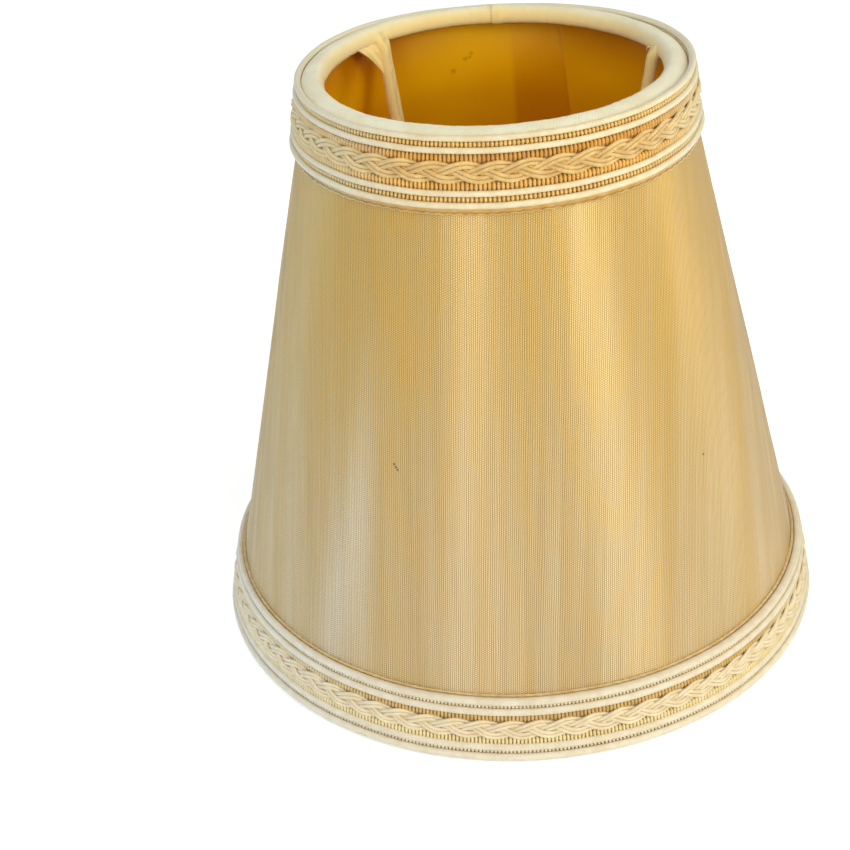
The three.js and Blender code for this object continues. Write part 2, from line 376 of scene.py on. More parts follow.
def dress(piece: bpy.types.Object, finish: "Finish", nodes: Sequence[str] = ()) -> bpy.types.Object:
    """Gives an object its finish and its place in the part.

    Args:
        piece: The object, already in place.
        finish: The finish that it is dressed in.
        nodes: The CAD nodes that it stands for.

    Returns:
        The same object.
    """
    piece.data.materials.clear()
    piece.data.materials.append(finish.material())
    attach(piece, BODY)
    if nodes:
        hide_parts(*nodes)
    LOG.info("%s: %d faces for %s", piece.name, len(piece.data.polygons), ", ".join(nodes) or "trim")
    return piece


class NodeSheet:
    """Places nodes in one tree and joins them."""

    def __init__(self, tree: bpy.types.NodeTree) -> None:
        """Keeps the tree to work in."""
        self.tree = tree

    def add(self, kind: str, **settings: Any) -> bpy.types.Node:
        """Places one node.

        Args:
            kind: The node's type.
            **settings: Values of the node's own properties.

        Returns:
            The new node.
        """
        node = self.tree.nodes.new(kind)
        for name, value in settings.items():
            setattr(node, name, value)
        return node

    def feed(self, socket: bpy.types.NodeSocket, value: Any) -> None:
        """Joins an output to a socket, or sets the socket's own value."""
        if isinstance(value, bpy.types.NodeSocket):
            self.tree.links.new(value, socket)
        else:
            socket.default_value = value

    def math(self, operation: str, *values: Any) -> bpy.types.NodeSocket:
        """Places a Math node.

        Args:
            operation: What it works out.
            *values: Its inputs, numbers or outputs of other nodes.

        Returns:
            Its output.
        """
        node = self.add("ShaderNodeMath", operation=operation)
        for socket, value in zip(node.inputs, values):
            self.feed(socket, value)
        return node.outputs[0]

    def mix(self, share: Any, first: Any, second: Any) -> bpy.types.NodeSocket:
        """Places a node that mixes two colours.

        Args:
            share: The share of the second colour.
            first: The first colour.
            second: The second colour.

        Returns:
            The mixed colour.
        """
        node = self.add("ShaderNodeMix", data_type="RGBA")
        for index, value in ((0, share), (6, first), (7, second)):
            self.feed(node.inputs[index], value)
        return node.outputs[2]

    def noise(self, vector: Any, scale: float, detail: float = 2.0) -> bpy.types.NodeSocket:
        """Places a noise texture.

        Args:
            vector: Where it is read.
            scale: Its scale.
            detail: Its detail.

        Returns:
            Its value, about 0 to 1.
        """
        node = self.add("ShaderNodeTexNoise")
        self.feed(node.inputs["Vector"], vector)
        self.feed(node.inputs["Scale"], scale)
        self.feed(node.inputs["Detail"], detail)
        return node.outputs["Fac"]

    def parts(self, vector: Any) -> Any:
        """Places a node that splits a vector.

        Args:
            vector: The vector.

        Returns:
            Its X, Y and Z, by name.
        """
        node = self.add("ShaderNodeSeparateXYZ")
        self.feed(node.inputs[0], vector)
        return node.outputs

    def spread(self, share: Any, low: float, high: float) -> bpy.types.NodeSocket:
        """Places a node that spreads a share between two values.

        Args:
            share: The share, from 0 to 1.
            low: The value at 0.
            high: The value at 1.

        Returns:
            The value.
        """
        node = self.add("ShaderNodeMapRange")
        for name, entry in (("Value", share), ("To Min", low), ("To Max", high)):
            self.feed(node.inputs[name], entry)
        return node.outputs["Result"]

    def ease(self, value: Any, low: float, high: float) -> bpy.types.NodeSocket:
        """Places a smooth step.

        Args:
            value: What is eased.
            low: Where the step starts.
            high: Where it ends.

        Returns:
            The eased value, from 0 to 1.
        """
        node = self.add("ShaderNodeMapRange", interpolation_type="SMOOTHSTEP")
        for name, entry in (("Value", value), ("From Min", low), ("From Max", high)):
            self.feed(node.inputs[name], entry)
        return node.outputs["Result"]

    def scaled(self, vector: Any, scale: Triple) -> bpy.types.NodeSocket:
        """Places a node that scales a vector.

        Args:
            vector: The vector.
            scale: The factor along each axis.

        Returns:
            The scaled vector.
        """
        node = self.add("ShaderNodeMapping")
        self.feed(node.inputs["Vector"], vector)
        self.feed(node.inputs["Scale"], scale)
        return node.outputs["Vector"]

    def object_place(self) -> bpy.types.NodeSocket:
        """Gives the place on the object, in its own frame."""
        return self.add("ShaderNodeTexCoord").outputs["Object"]

    def surface_place(self) -> bpy.types.NodeSocket:
        """Gives the place on the piece's own UV map."""
        return self.add("ShaderNodeUVMap", uv_map=UV_NAME).outputs["UV"]

    def group(self, tree: bpy.types.NodeTree, **values: Any) -> bpy.types.Node:
        """Places a node group.

        Args:
            tree: The group.
            **values: Its inputs, with spaces written as underscores.

        Returns:
            The group's node.
        """
        node = self.add("ShaderNodeGroup")
        node.node_tree = tree
        for name, value in values.items():
            self.feed(node.inputs[name.replace("_", " ")], value)
        return node

    def bump(self, shader: bpy.types.Node, height: Any, strength: float, distance: float) -> None:
        """Joins a height to a shader's normal.

        Args:
            shader: The shader.
            height: The height over the surface.
            strength: How much of it shows.
            distance: The height of one unit, in metres.
        """
        node = self.add("ShaderNodeBump")
        self.feed(node.inputs["Height"], height)
        self.feed(node.inputs["Strength"], strength)
        self.feed(node.inputs["Distance"], distance)
        self.feed(shader.inputs["Normal"], node.outputs["Normal"])


class SharedEffects:
    """Node groups that more than one finish uses, each built once."""

    DYE_DETAIL = 3.0
    DYE_RANGE = (0.3, 0.7)
    STAIN_GRAIN = 2500.0
    STAIN_RANGE = (1.5, 0.7)

    @staticmethod
    def start(
        name: str, inputs: Sequence[tuple[str, str]], outputs: Sequence[tuple[str, str]]
    ) -> tuple[bpy.types.NodeTree, NodeSheet, bpy.types.Node, bpy.types.Node]:
        """Starts a group with its sockets.

        Args:
            name: The group's name.
            inputs: Name and type of each input.
            outputs: Name and type of each output.

        Returns:
            The group, its node sheet, and its input and output nodes.
        """
        tree = bpy.data.node_groups.new(name, "ShaderNodeTree")
        for way, sockets in (("INPUT", inputs), ("OUTPUT", outputs)):
            for label, kind in sockets:
                tree.interface.new_socket(label, in_out=way, socket_type=kind)
        sheet = NodeSheet(tree)
        return tree, sheet, sheet.add("NodeGroupInput"), sheet.add("NodeGroupOutput")

    @classmethod
    def weave(cls) -> bpy.types.NodeTree:
        """Plain weave: threads that pass over and under each other in turn.

        Returns:
            The group. It takes the place on the cloth and the number of threads in a
            unit each way, and gives the height of the threads and the grooves between
            the warp threads.
        """
        name = "plain_weave"
        if name in bpy.data.node_groups:
            return bpy.data.node_groups[name]
        tree, sheet, entry, result = cls.start(
            name,
            [("Place", "NodeSocketVector"), ("Warp", "NodeSocketFloat"), ("Weft", "NodeSocketFloat")],
            [("Height", "NodeSocketFloat"), ("Groove", "NodeSocketFloat")],
        )
        parts = sheet.parts(entry.outputs["Place"])
        waves = []
        for axis, threads in (("X", "Warp"), ("Y", "Weft")):
            turns = sheet.math("MULTIPLY", parts[axis], entry.outputs[threads])
            waves.append(sheet.math("COSINE", sheet.math("MULTIPLY", turns, math.pi)))
        sheet.feed(result.inputs["Height"], sheet.math("MULTIPLY", *waves))
        ridge = sheet.math("MULTIPLY", waves[0], waves[0])
        sheet.feed(result.inputs["Groove"], sheet.math("SUBTRACT", 1.0, ridge))
        return tree

    @classmethod
    def mottle(cls) -> bpy.types.NodeTree:
        """Uneven dye: a colour that drifts towards a second one in soft patches.

        Returns:
            The group. It takes a place, a scale and two colours, and gives the colour.
        """
        name = "uneven_dye"
        if name in bpy.data.node_groups:
            return bpy.data.node_groups[name]
        tree, sheet, entry, result = cls.start(
            name,
            [
                ("Place", "NodeSocketVector"),
                ("Scale", "NodeSocketFloat"),
                ("First", "NodeSocketColor"),
                ("Second", "NodeSocketColor"),
            ],
            [("Colour", "NodeSocketColor"), ("Patch", "NodeSocketFloat")],
        )
        patch = sheet.noise(entry.outputs["Place"], entry.outputs["Scale"], cls.DYE_DETAIL)
        share = sheet.ease(patch, *cls.DYE_RANGE)
        colour = sheet.mix(share, entry.outputs["First"], entry.outputs["Second"])
        sheet.feed(result.inputs["Colour"], colour)
        sheet.feed(result.inputs["Patch"], share)
        return tree

    @classmethod
    def spot(cls) -> bpy.types.NodeTree:
        """Small stain: a soft round mark at one place.

        Returns:
            The group. It takes a place, the mark's centre and its radius, and gives
            a mask that is 1 at the centre.
        """
        name = "small_stain"
        if name in bpy.data.node_groups:
            return bpy.data.node_groups[name]
        tree, sheet, entry, result = cls.start(
            name,
            [
                ("Place", "NodeSocketVector"),
                ("Centre", "NodeSocketVector"),
                ("Radius", "NodeSocketFloat"),
            ],
            [("Mask", "NodeSocketFloat")],
        )
        away = sheet.add("ShaderNodeVectorMath", operation="DISTANCE")
        sheet.feed(away.inputs[0], entry.outputs["Place"])
        sheet.feed(away.inputs[1], entry.outputs["Centre"])
        share = sheet.math("DIVIDE", away.outputs["Value"], entry.outputs["Radius"])
        ragged = sheet.math("ADD", share, sheet.noise(entry.outputs["Place"], cls.STAIN_GRAIN))
        sheet.feed(result.inputs["Mask"], sheet.ease(ragged, *cls.STAIN_RANGE))
        return tree


@dataclass(frozen=True)
class Finish:
    """A finish: its name and the slot that it belongs to."""

    name: str
    slot: str

    def material(self) -> bpy.types.Material:
        """Gives the finish's material, made on first use.

        Returns:
            The material.
        """
        found = bpy.data.materials.get(self.name)
        if found is not None:
            return found
        made = bpy.data.materials.new(self.name)
        made.use_nodes = True
        sheet = NodeSheet(made.node_tree)
        self.paint(sheet, made.node_tree.nodes["Principled BSDF"])
        return made

    def paint(self, sheet: NodeSheet, shader: bpy.types.Node) -> None:
        """Lays the finish's nodes; each kind of finish has its own.

        Args:
            sheet: Where the nodes go.
            shader: The material's Principled BSDF.
        """
        raise NotImplementedError

    @staticmethod
    def settle(shader: bpy.types.Node, values: dict[str, Any]) -> None:
        """Sets values that are the same all over the surface.

        Args:
            shader: The shader.
            values: Socket names and values.
        """
        for name, value in values.items():
            shader.inputs[name].default_value = value


@dataclass(frozen=True)
class SilkFinish(Finish):
    """Champagne silk with streaked threads and a sheen across them.

    Its surface map is counted in ribs, across and along them, and the scales of its streaks
    and of its wandering threads are in that map. Each speck is a place and a radius.
    """

    deep: Colour = rgb(228, 194, 130)
    pale: Colour = rgb(242, 218, 170)
    golden: Colour = rgb(240, 194, 82)
    # Painted shade colour for the grooves between warp threads and the threads that pass under.
    groove_shade: Colour = rgb(128, 90, 34)
    speck: Colour = rgb(110, 84, 44)
    wefts: float = 1.91
    fine_streak: Triple = (0.5, 0.008, 1.0)
    broad_streak: Triple = (0.07, 0.002, 1.0)
    golden_streak: Triple = (0.032, 0.001, 1.0)
    aside_wander: Triple = (0.16, 0.02, 1.0)
    along_wander: Triple = (0.1, 0.05, 1.0)
    aside_reach: float = 1.6
    along_reach: float = 2.4
    fine_share: float = 0.35
    broad_share: float = 0.65
    streak_range: Span = (0.32, 0.68)
    # Heights and share of the painted reflection: gold higher up, paler low down where the floor's
    # reflection is painted in.
    reflection_fade_heights: Span = (25.0 * MM, 110.0 * MM)
    reflection_fade_share: float = 0.66
    golden_streak_range: Span = (0.45, 0.65)
    golden_streak_share: float = 0.2
    crown_range: Span = (-0.8, 0.8)
    under_shade_share: float = 0.45
    groove_range: Span = (0.2, 1.0)
    groove_shade_share: float = 0.45
    lustre: float = 0.05
    crown_lustre: float = 0.3
    roughness: Span = (0.36, 0.44)
    relief: float = 0.5
    relief_depth: float = 0.02 * MM
    specks: tuple[Mark, ...] = (
        (-0.0244, -0.0490, 0.0638, 0.00045),
        (-0.0241, -0.0493, 0.0633, 0.00045),
        (-0.0238, -0.0496, 0.0628, 0.00045),
        (0.0405, -0.0394, 0.0564, 0.00045),
    )

    def paint(self, sheet: NodeSheet, shader: bpy.types.Node) -> None:
        """Lays the silk's nodes.

        Args:
            sheet: Where the nodes go.
            shader: The material's Principled BSDF.
        """
        place = sheet.surface_place()
        fine = sheet.noise(sheet.scaled(place, self.fine_streak), 1.0)
        broad = sheet.noise(sheet.scaled(place, self.broad_streak), 1.0)
        broad = sheet.math("MULTIPLY", broad, self.broad_share)
        streaks = sheet.math("MULTIPLY_ADD", fine, self.fine_share, broad)
        colour = sheet.mix(sheet.ease(streaks, *self.streak_range), self.deep, self.pale)
        # Painted reflection: the silk is mixed towards gold higher up and left paler lower down, standing
        # in for the floor's whitish reflection; the drift added below is uneven dye.
        upper = sheet.ease(sheet.parts(sheet.object_place())["Z"], *self.reflection_fade_heights)
        upper = sheet.math("MULTIPLY", upper, self.reflection_fade_share)
        drift = sheet.noise(sheet.scaled(place, self.golden_streak), 1.0, 1.0)
        drift = sheet.ease(drift, *self.golden_streak_range)
        upper = sheet.math("MULTIPLY_ADD", drift, self.golden_streak_share, upper)
        colour = sheet.mix(upper, colour, self.golden)
        weave = sheet.group(
            SharedEffects.weave(), Place=self.uneven(sheet, place), Warp=1.0, Weft=self.wefts
        )
        crown = sheet.ease(weave.outputs["Height"], *self.crown_range)
        # Painted shade: darker in the grooves between the warp threads and where a thread passes under.
        under = sheet.math("MULTIPLY", sheet.math("SUBTRACT", 1.0, crown), self.under_shade_share)
        groove_shade = sheet.ease(weave.outputs["Groove"], *self.groove_range)
        painted_weave_shade = sheet.math("MULTIPLY_ADD", groove_shade, self.groove_shade_share, under)
        colour = sheet.mix(painted_weave_shade, colour, self.groove_shade)
        for x, y, z, radius in self.specks:
            mark = sheet.group(
                SharedEffects.spot(), Place=sheet.object_place(), Centre=(x, y, z), Radius=radius
            )
            colour = sheet.mix(mark.outputs["Mask"], colour, self.speck)
        sheet.feed(shader.inputs["Base Color"], colour)
        lustre = sheet.math("MULTIPLY_ADD", crown, self.crown_lustre, self.lustre)
        sheet.feed(shader.inputs["Metallic"], lustre)
        sheet.feed(shader.inputs["Roughness"], sheet.spread(fine, *self.roughness))
        sheet.bump(shader, weave.outputs["Height"], self.relief, self.relief_depth)
        self.settle(
            shader,
            {"Specular IOR Level": 0.9, "Anisotropic": 0.7, "Anisotropic Rotation": 0.25},
        )

    def uneven(self, sheet: NodeSheet, place: bpy.types.NodeSocket) -> bpy.types.NodeSocket:
        """Lets the threads wander a little, as hand-reeled silk does.

        Args:
            sheet: Where the nodes go.
            place: The place on the cloth, in ribs.

        Returns:
            The place that the weave is read at.
        """
        aside = sheet.noise(sheet.scaled(place, self.aside_wander), 1.0)
        along = sheet.noise(sheet.scaled(place, self.along_wander), 1.0)
        parts = sheet.parts(place)
        moved = sheet.add("ShaderNodeCombineXYZ")
        sheet.feed(moved.inputs[0], sheet.math("MULTIPLY_ADD", aside, self.aside_reach, parts["X"]))
        sheet.feed(moved.inputs[1], sheet.math("MULTIPLY_ADD", along, self.along_reach, parts["Y"]))
        return moved.outputs[0]


@dataclass(frozen=True)
class AmberFinish(Finish):
    """Amber plastic sheet, with painted shade where its ends lap and towards the sides under the top rim.

    Each stain is a place and a radius.
    """

    deep: Colour = rgb(247, 172, 2)
    pale: Colour = rgb(254, 191, 8)
    # Painted shade colour, for where the ends lap and for the sides under the top rim.
    painted_shade: Colour = rgb(216, 130, 2)
    stain: Colour = rgb(90, 36, 2)
    # Painted highlight colour for the lap's cut edge.
    edge: Colour = rgb(250, 190, 70)
    dye_scale: float = 28.0
    lap_from: float = math.radians(66.5)
    lap_to: float = math.radians(83.5)
    near_blur: float = 0.008
    far_blur: float = 0.02
    lap_shade_heights: Span = (131.0 * MM, 106.0 * MM)
    lap_shade_share: float = 0.6
    # Reach aside and heights of the painted shade towards the sides under the top rim.
    side_shade_aside: Span = (2.0 * MM, 28.0 * MM)
    side_shade_heights: Span = (111.0 * MM, 126.0 * MM)
    side_shade_share: float = 0.8
    stain_share: float = 0.32
    highlight_before: float = 0.012
    highlight_after: float = 0.014
    highlight_heights: Span = (110.0 * MM, 126.0 * MM)
    highlight_share: Span = (0.08, 0.35)
    roughness: Span = (0.34, 0.46)
    grain_scale: float = 180.0
    relief: float = 0.12
    relief_depth: float = 0.2 * MM
    stains: tuple[Mark, ...] = (
        (-0.0064, 0.0408, 0.1180, 0.0009),
        (-0.0053, 0.0408, 0.1184, 0.0007),
        (-0.0049, 0.0406, 0.1194, 0.0007),
        (-0.0093, 0.0409, 0.1150, 0.0010),
        (0.0003, 0.0394, 0.1262, 0.0008),
    )

    def paint(self, sheet: NodeSheet, shader: bpy.types.Node) -> None:
        """Lays the amber sheet's nodes.

        Args:
            sheet: Where the nodes go.
            shader: The material's Principled BSDF.
        """
        place = sheet.object_place()
        dye = sheet.group(
            SharedEffects.mottle(), Place=place, Scale=self.dye_scale, First=self.deep, Second=self.pale
        )
        parts = sheet.parts(place)
        azimuth = sheet.math("ARCTAN2", parts["Y"], parts["X"])
        # Painted shade where the two layers lap, as if less light came through them, stronger lower down.
        low, high = self.lap_from, self.lap_to
        opened = sheet.ease(azimuth, low - self.near_blur, low + self.near_blur)
        closed = sheet.ease(azimuth, high + self.far_blur, high - self.far_blur)
        lap_shade_fade = sheet.ease(parts["Z"], *self.lap_shade_heights)
        lapped = sheet.math("MULTIPLY", sheet.math("MULTIPLY", opened, closed), lap_shade_fade)
        lapped = sheet.math("MULTIPLY", lapped, self.lap_shade_share)
        colour = sheet.mix(lapped, dye.outputs["Colour"], self.painted_shade)
        # Painted shade towards the sides, under the top rim, where less light falls.
        aside = sheet.ease(sheet.math("ABSOLUTE", parts["X"]), *self.side_shade_aside)
        side_shade = sheet.math("MULTIPLY", aside, sheet.ease(parts["Z"], *self.side_shade_heights))
        colour = sheet.mix(sheet.math("MULTIPLY", side_shade, self.side_shade_share), colour, self.painted_shade)
        for x, y, z, radius in self.stains:
            mark = sheet.group(SharedEffects.spot(), Place=place, Centre=(x, y, z), Radius=radius)
            faint = sheet.math("MULTIPLY", mark.outputs["Mask"], self.stain_share)
            colour = sheet.mix(faint, colour, self.stain)
        # Painted highlight: the cut edge of the inner end is lightened as if it caught the light, more so
        # near the top.
        rising = sheet.ease(azimuth, low - self.highlight_before, low)
        falling = sheet.ease(azimuth, low + self.highlight_after, low)
        least, more = self.highlight_share
        height = sheet.ease(parts["Z"], *self.highlight_heights)
        highlight_strength = sheet.math("MULTIPLY_ADD", height, more, least)
        cut = sheet.math("MULTIPLY", sheet.math("MULTIPLY", rising, falling), highlight_strength)
        sheet.feed(shader.inputs["Base Color"], sheet.mix(cut, colour, self.edge))
        sheet.feed(shader.inputs["Roughness"], sheet.spread(dye.outputs["Patch"], *self.roughness))
        sheet.bump(shader, sheet.noise(place, self.grain_scale), self.relief, self.relief_depth)
        self.settle(shader, {"Specular IOR Level": 0.1})


@dataclass(frozen=True)
class ClothFinish(Finish):
    """Plain-woven cream cloth with a soft nap, with painted warm light bounced off the amber towards the
    inside of the shade.
    """

    light: Colour = rgb(250, 244, 215)
    shade: Colour = rgb(243, 232, 194)
    # Colour of the painted warm bounce light from the amber.
    amber_bounce: Colour = rgb(254, 224, 144)
    bounce_start_radius: float = 37.4 * MM
    bounce_full_radius: float = 35.0 * MM
    bounce_share: float = 0.94
    dye_scale: float = 140.0
    threads: float = 3200.0
    nap_scale: float = 2600.0
    nap: float = 0.6
    relief: float = 0.7
    relief_depth: float = 0.05 * MM

    def paint(self, sheet: NodeSheet, shader: bpy.types.Node) -> None:
        """Lays the cloth's nodes.

        Args:
            sheet: Where the nodes go.
            shader: The material's Principled BSDF.
        """
        dye = sheet.group(
            SharedEffects.mottle(),
            Place=sheet.object_place(),
            Scale=self.dye_scale,
            First=self.light,
            Second=self.shade,
        )
        # Painted warm bounce light from the amber, stronger nearer the axis.
        away = sheet.add("ShaderNodeVectorMath", operation="LENGTH")
        sheet.feed(away.inputs[0], sheet.scaled(sheet.object_place(), (1.0, 1.0, 0.0)))
        bounce_light = sheet.ease(away.outputs["Value"], self.bounce_start_radius, self.bounce_full_radius)
        bounce_light = sheet.math("MULTIPLY", bounce_light, self.bounce_share)
        colour = sheet.mix(bounce_light, dye.outputs["Colour"], self.amber_bounce)
        sheet.feed(shader.inputs["Base Color"], colour)
        weave = sheet.group(
            SharedEffects.weave(), Place=sheet.surface_place(), Warp=self.threads, Weft=self.threads
        )
        fuzz = sheet.noise(sheet.object_place(), self.nap_scale)
        height = sheet.math("MULTIPLY_ADD", fuzz, self.nap, weave.outputs["Height"])
        sheet.bump(shader, height, self.relief, self.relief_depth)
        self.settle(shader, {"Roughness": 0.85, "Sheen Weight": 0.3, "Sheen Roughness": 0.5})


@dataclass(frozen=True)
class ThreadFinish(Finish):
    """Spun thread: soft, a little lustrous, with uneven dye, and painted side light that pales it away
    from the front.
    """

    light: Colour
    shade: Colour
    roughness: float = 0.5
    # Colour and share of the painted side light.
    side_light: Colour = rgb(226, 214, 172)
    side_light_share: float = 0.0
    side_light_turn: float = -0.16
    side_light_range: Span = (-0.9, -0.5)
    dye_scale: float = 420.0
    fuzz_scale: float = 5200.0
    relief: float = 0.35
    relief_depth: float = 0.04 * MM

    def paint(self, sheet: NodeSheet, shader: bpy.types.Node) -> None:
        """Lays the thread's nodes.

        Args:
            sheet: Where the nodes go.
            shader: The material's Principled BSDF.
        """
        place = sheet.object_place()
        dye = sheet.group(
            SharedEffects.mottle(), Place=place, Scale=self.dye_scale, First=self.light, Second=self.shade
        )
        # Painted light: the thread is paler towards the sides and back, away from the front.
        flat = sheet.add("ShaderNodeVectorMath", operation="NORMALIZE")
        sheet.feed(flat.inputs[0], sheet.scaled(place, (1.0, 1.0, 0.0)))
        parts = sheet.parts(flat.outputs["Vector"])
        behind = sheet.math("MULTIPLY_ADD", parts["X"], self.side_light_turn, parts["Y"])
        aside = sheet.math("MULTIPLY", sheet.ease(behind, *self.side_light_range), self.side_light_share)
        colour = sheet.mix(aside, dye.outputs["Colour"], self.side_light)
        sheet.feed(shader.inputs["Base Color"], colour)
        sheet.bump(shader, sheet.noise(place, self.fuzz_scale), self.relief, self.relief_depth)
        self.settle(
            shader,
            {"Roughness": self.roughness, "Sheen Weight": 0.6, "Sheen Roughness": 0.4},
        )


@dataclass(frozen=True)
class SteelFinish(Finish):
    """Drawn and stamped steel with a dull bright plating."""

    bright: Colour = rgb(198, 196, 188)
    dull: Colour = rgb(170, 166, 156)
    dye_scale: float = 160.0
    smear_scale: float = 900.0
    smear_detail: float = 3.0
    roughness: Span = (0.26, 0.44)
    grain_scale: float = 1600.0
    relief: float = 0.15
    relief_depth: float = 0.03 * MM

    def paint(self, sheet: NodeSheet, shader: bpy.types.Node) -> None:
        """Lays the steel's nodes.

        Args:
            sheet: Where the nodes go.
            shader: The material's Principled BSDF.
        """
        place = sheet.object_place()
        dye = sheet.group(
            SharedEffects.mottle(), Place=place, Scale=self.dye_scale, First=self.bright, Second=self.dull
        )
        sheet.feed(shader.inputs["Base Color"], dye.outputs["Colour"])
        smear = sheet.noise(place, self.smear_scale, self.smear_detail)
        sheet.feed(shader.inputs["Roughness"], sheet.spread(smear, *self.roughness))
        sheet.bump(shader, sheet.noise(place, self.grain_scale), self.relief, self.relief_depth)
        self.settle(shader, {"Metallic": 1.0})


@dataclass(frozen=True)
class FloorFinish(Finish):
    """Plain pale floor, bright to the eye and calmer in what it throws back."""

    pale: Colour = rgb(246, 246, 244)
    glow: float = 0.08
    seen_glow: float = 0.4

    def paint(self, sheet: NodeSheet, shader: bpy.types.Node) -> None:
        """Lays the floor's nodes.

        Args:
            sheet: Where the nodes go.
            shader: The material's Principled BSDF.
        """
        seen = sheet.add("ShaderNodeLightPath").outputs["Is Camera Ray"]
        glow = sheet.math("MULTIPLY_ADD", seen, self.seen_glow, self.glow)
        sheet.feed(shader.inputs["Emission Strength"], glow)
        self.settle(
            shader,
            {
                "Base Color": self.pale,
                "Roughness": 0.9,
                "Specular IOR Level": 0.1,
                "Emission Color": self.pale,
            },
        )


@dataclass(frozen=True)
class BraidFinishes:
    """The threads of one braid."""

    cord: ThreadFinish
    plait: ThreadFinish
    gold: ThreadFinish
    # Thread of the upper bead rows, painted darker for the shade that they sit in.
    shaded_gold: ThreadFinish
    rung: ThreadFinish
    edge: ThreadFinish
    tape: ThreadFinish


@dataclass(frozen=True)
class Finishes:
    """All the finishes of the shade."""

    silk: SilkFinish = SilkFinish("champagne_silk", "silk")
    amber: AmberFinish = AmberFinish("amber_sheet", "backing")
    cloth: ClothFinish = ClothFinish("cream_cloth", "cloth")
    steel: SteelFinish = SteelFinish("plated_steel", "steel")
    floor: FloorFinish = FloorFinish("pale_floor", "floor")
    top_braid: BraidFinishes = BraidFinishes(
        ThreadFinish(
            "cream_cord",
            "gimp_cord",
            rgb(240, 224, 186),
            rgb(230, 208, 164),
            side_light=rgb(232, 222, 194),
            side_light_share=0.8,
        ),
        ThreadFinish("beige_plait", "gimp_plait", rgb(230, 194, 124), rgb(210, 168, 96), side_light_share=0.6),
        ThreadFinish("golden_stitch", "gimp_tape", rgb(240, 188, 92), rgb(224, 168, 70), side_light_share=0.6),
        # The darker stitch below is painted shade for the upper bead rows.
        ThreadFinish("shaded_deep_stitch", "gimp_tape", rgb(224, 166, 66), rgb(202, 140, 44), side_light_share=0.6),
        ThreadFinish("golden_rung", "gimp_tape", rgb(240, 198, 112), rgb(226, 178, 90), side_light_share=0.6),
        ThreadFinish("golden_edge", "gimp_tape", rgb(216, 178, 104), rgb(196, 154, 78), side_light_share=0.4),
        ThreadFinish(
            "golden_tape", "gimp_tape", rgb(228, 184, 108), rgb(210, 162, 82), roughness=0.65, side_light_share=0.5
        ),
    )
    bottom_braid: BraidFinishes = BraidFinishes(
        ThreadFinish("pale_cord", "gimp_cord", rgb(232, 219, 194), rgb(224, 207, 176)),
        ThreadFinish("pale_plait", "gimp_plait", rgb(236, 218, 182), rgb(226, 204, 162)),
        ThreadFinish("pale_stitch", "gimp_tape", rgb(244, 224, 166), rgb(232, 206, 142), side_light_share=0.5),
        ThreadFinish("shaded_amber_stitch", "gimp_tape", rgb(220, 182, 108), rgb(198, 156, 80), side_light_share=0.75),
        ThreadFinish("pale_rung", "gimp_tape", rgb(240, 224, 184), rgb(228, 208, 160), side_light_share=0.4),
        ThreadFinish("pale_edge", "gimp_tape", rgb(224, 194, 132), rgb(208, 174, 108)),
        ThreadFinish(
            "pale_tape", "gimp_tape", rgb(238, 202, 128), rgb(224, 182, 102), roughness=0.65, side_light_share=0.4
        ),
    )

    def braid(self, rim: Rim) -> BraidFinishes:
        """Gives the threads of one rim's braid."""
        return self.top_braid if rim is Rim.TOP else self.bottom_braid


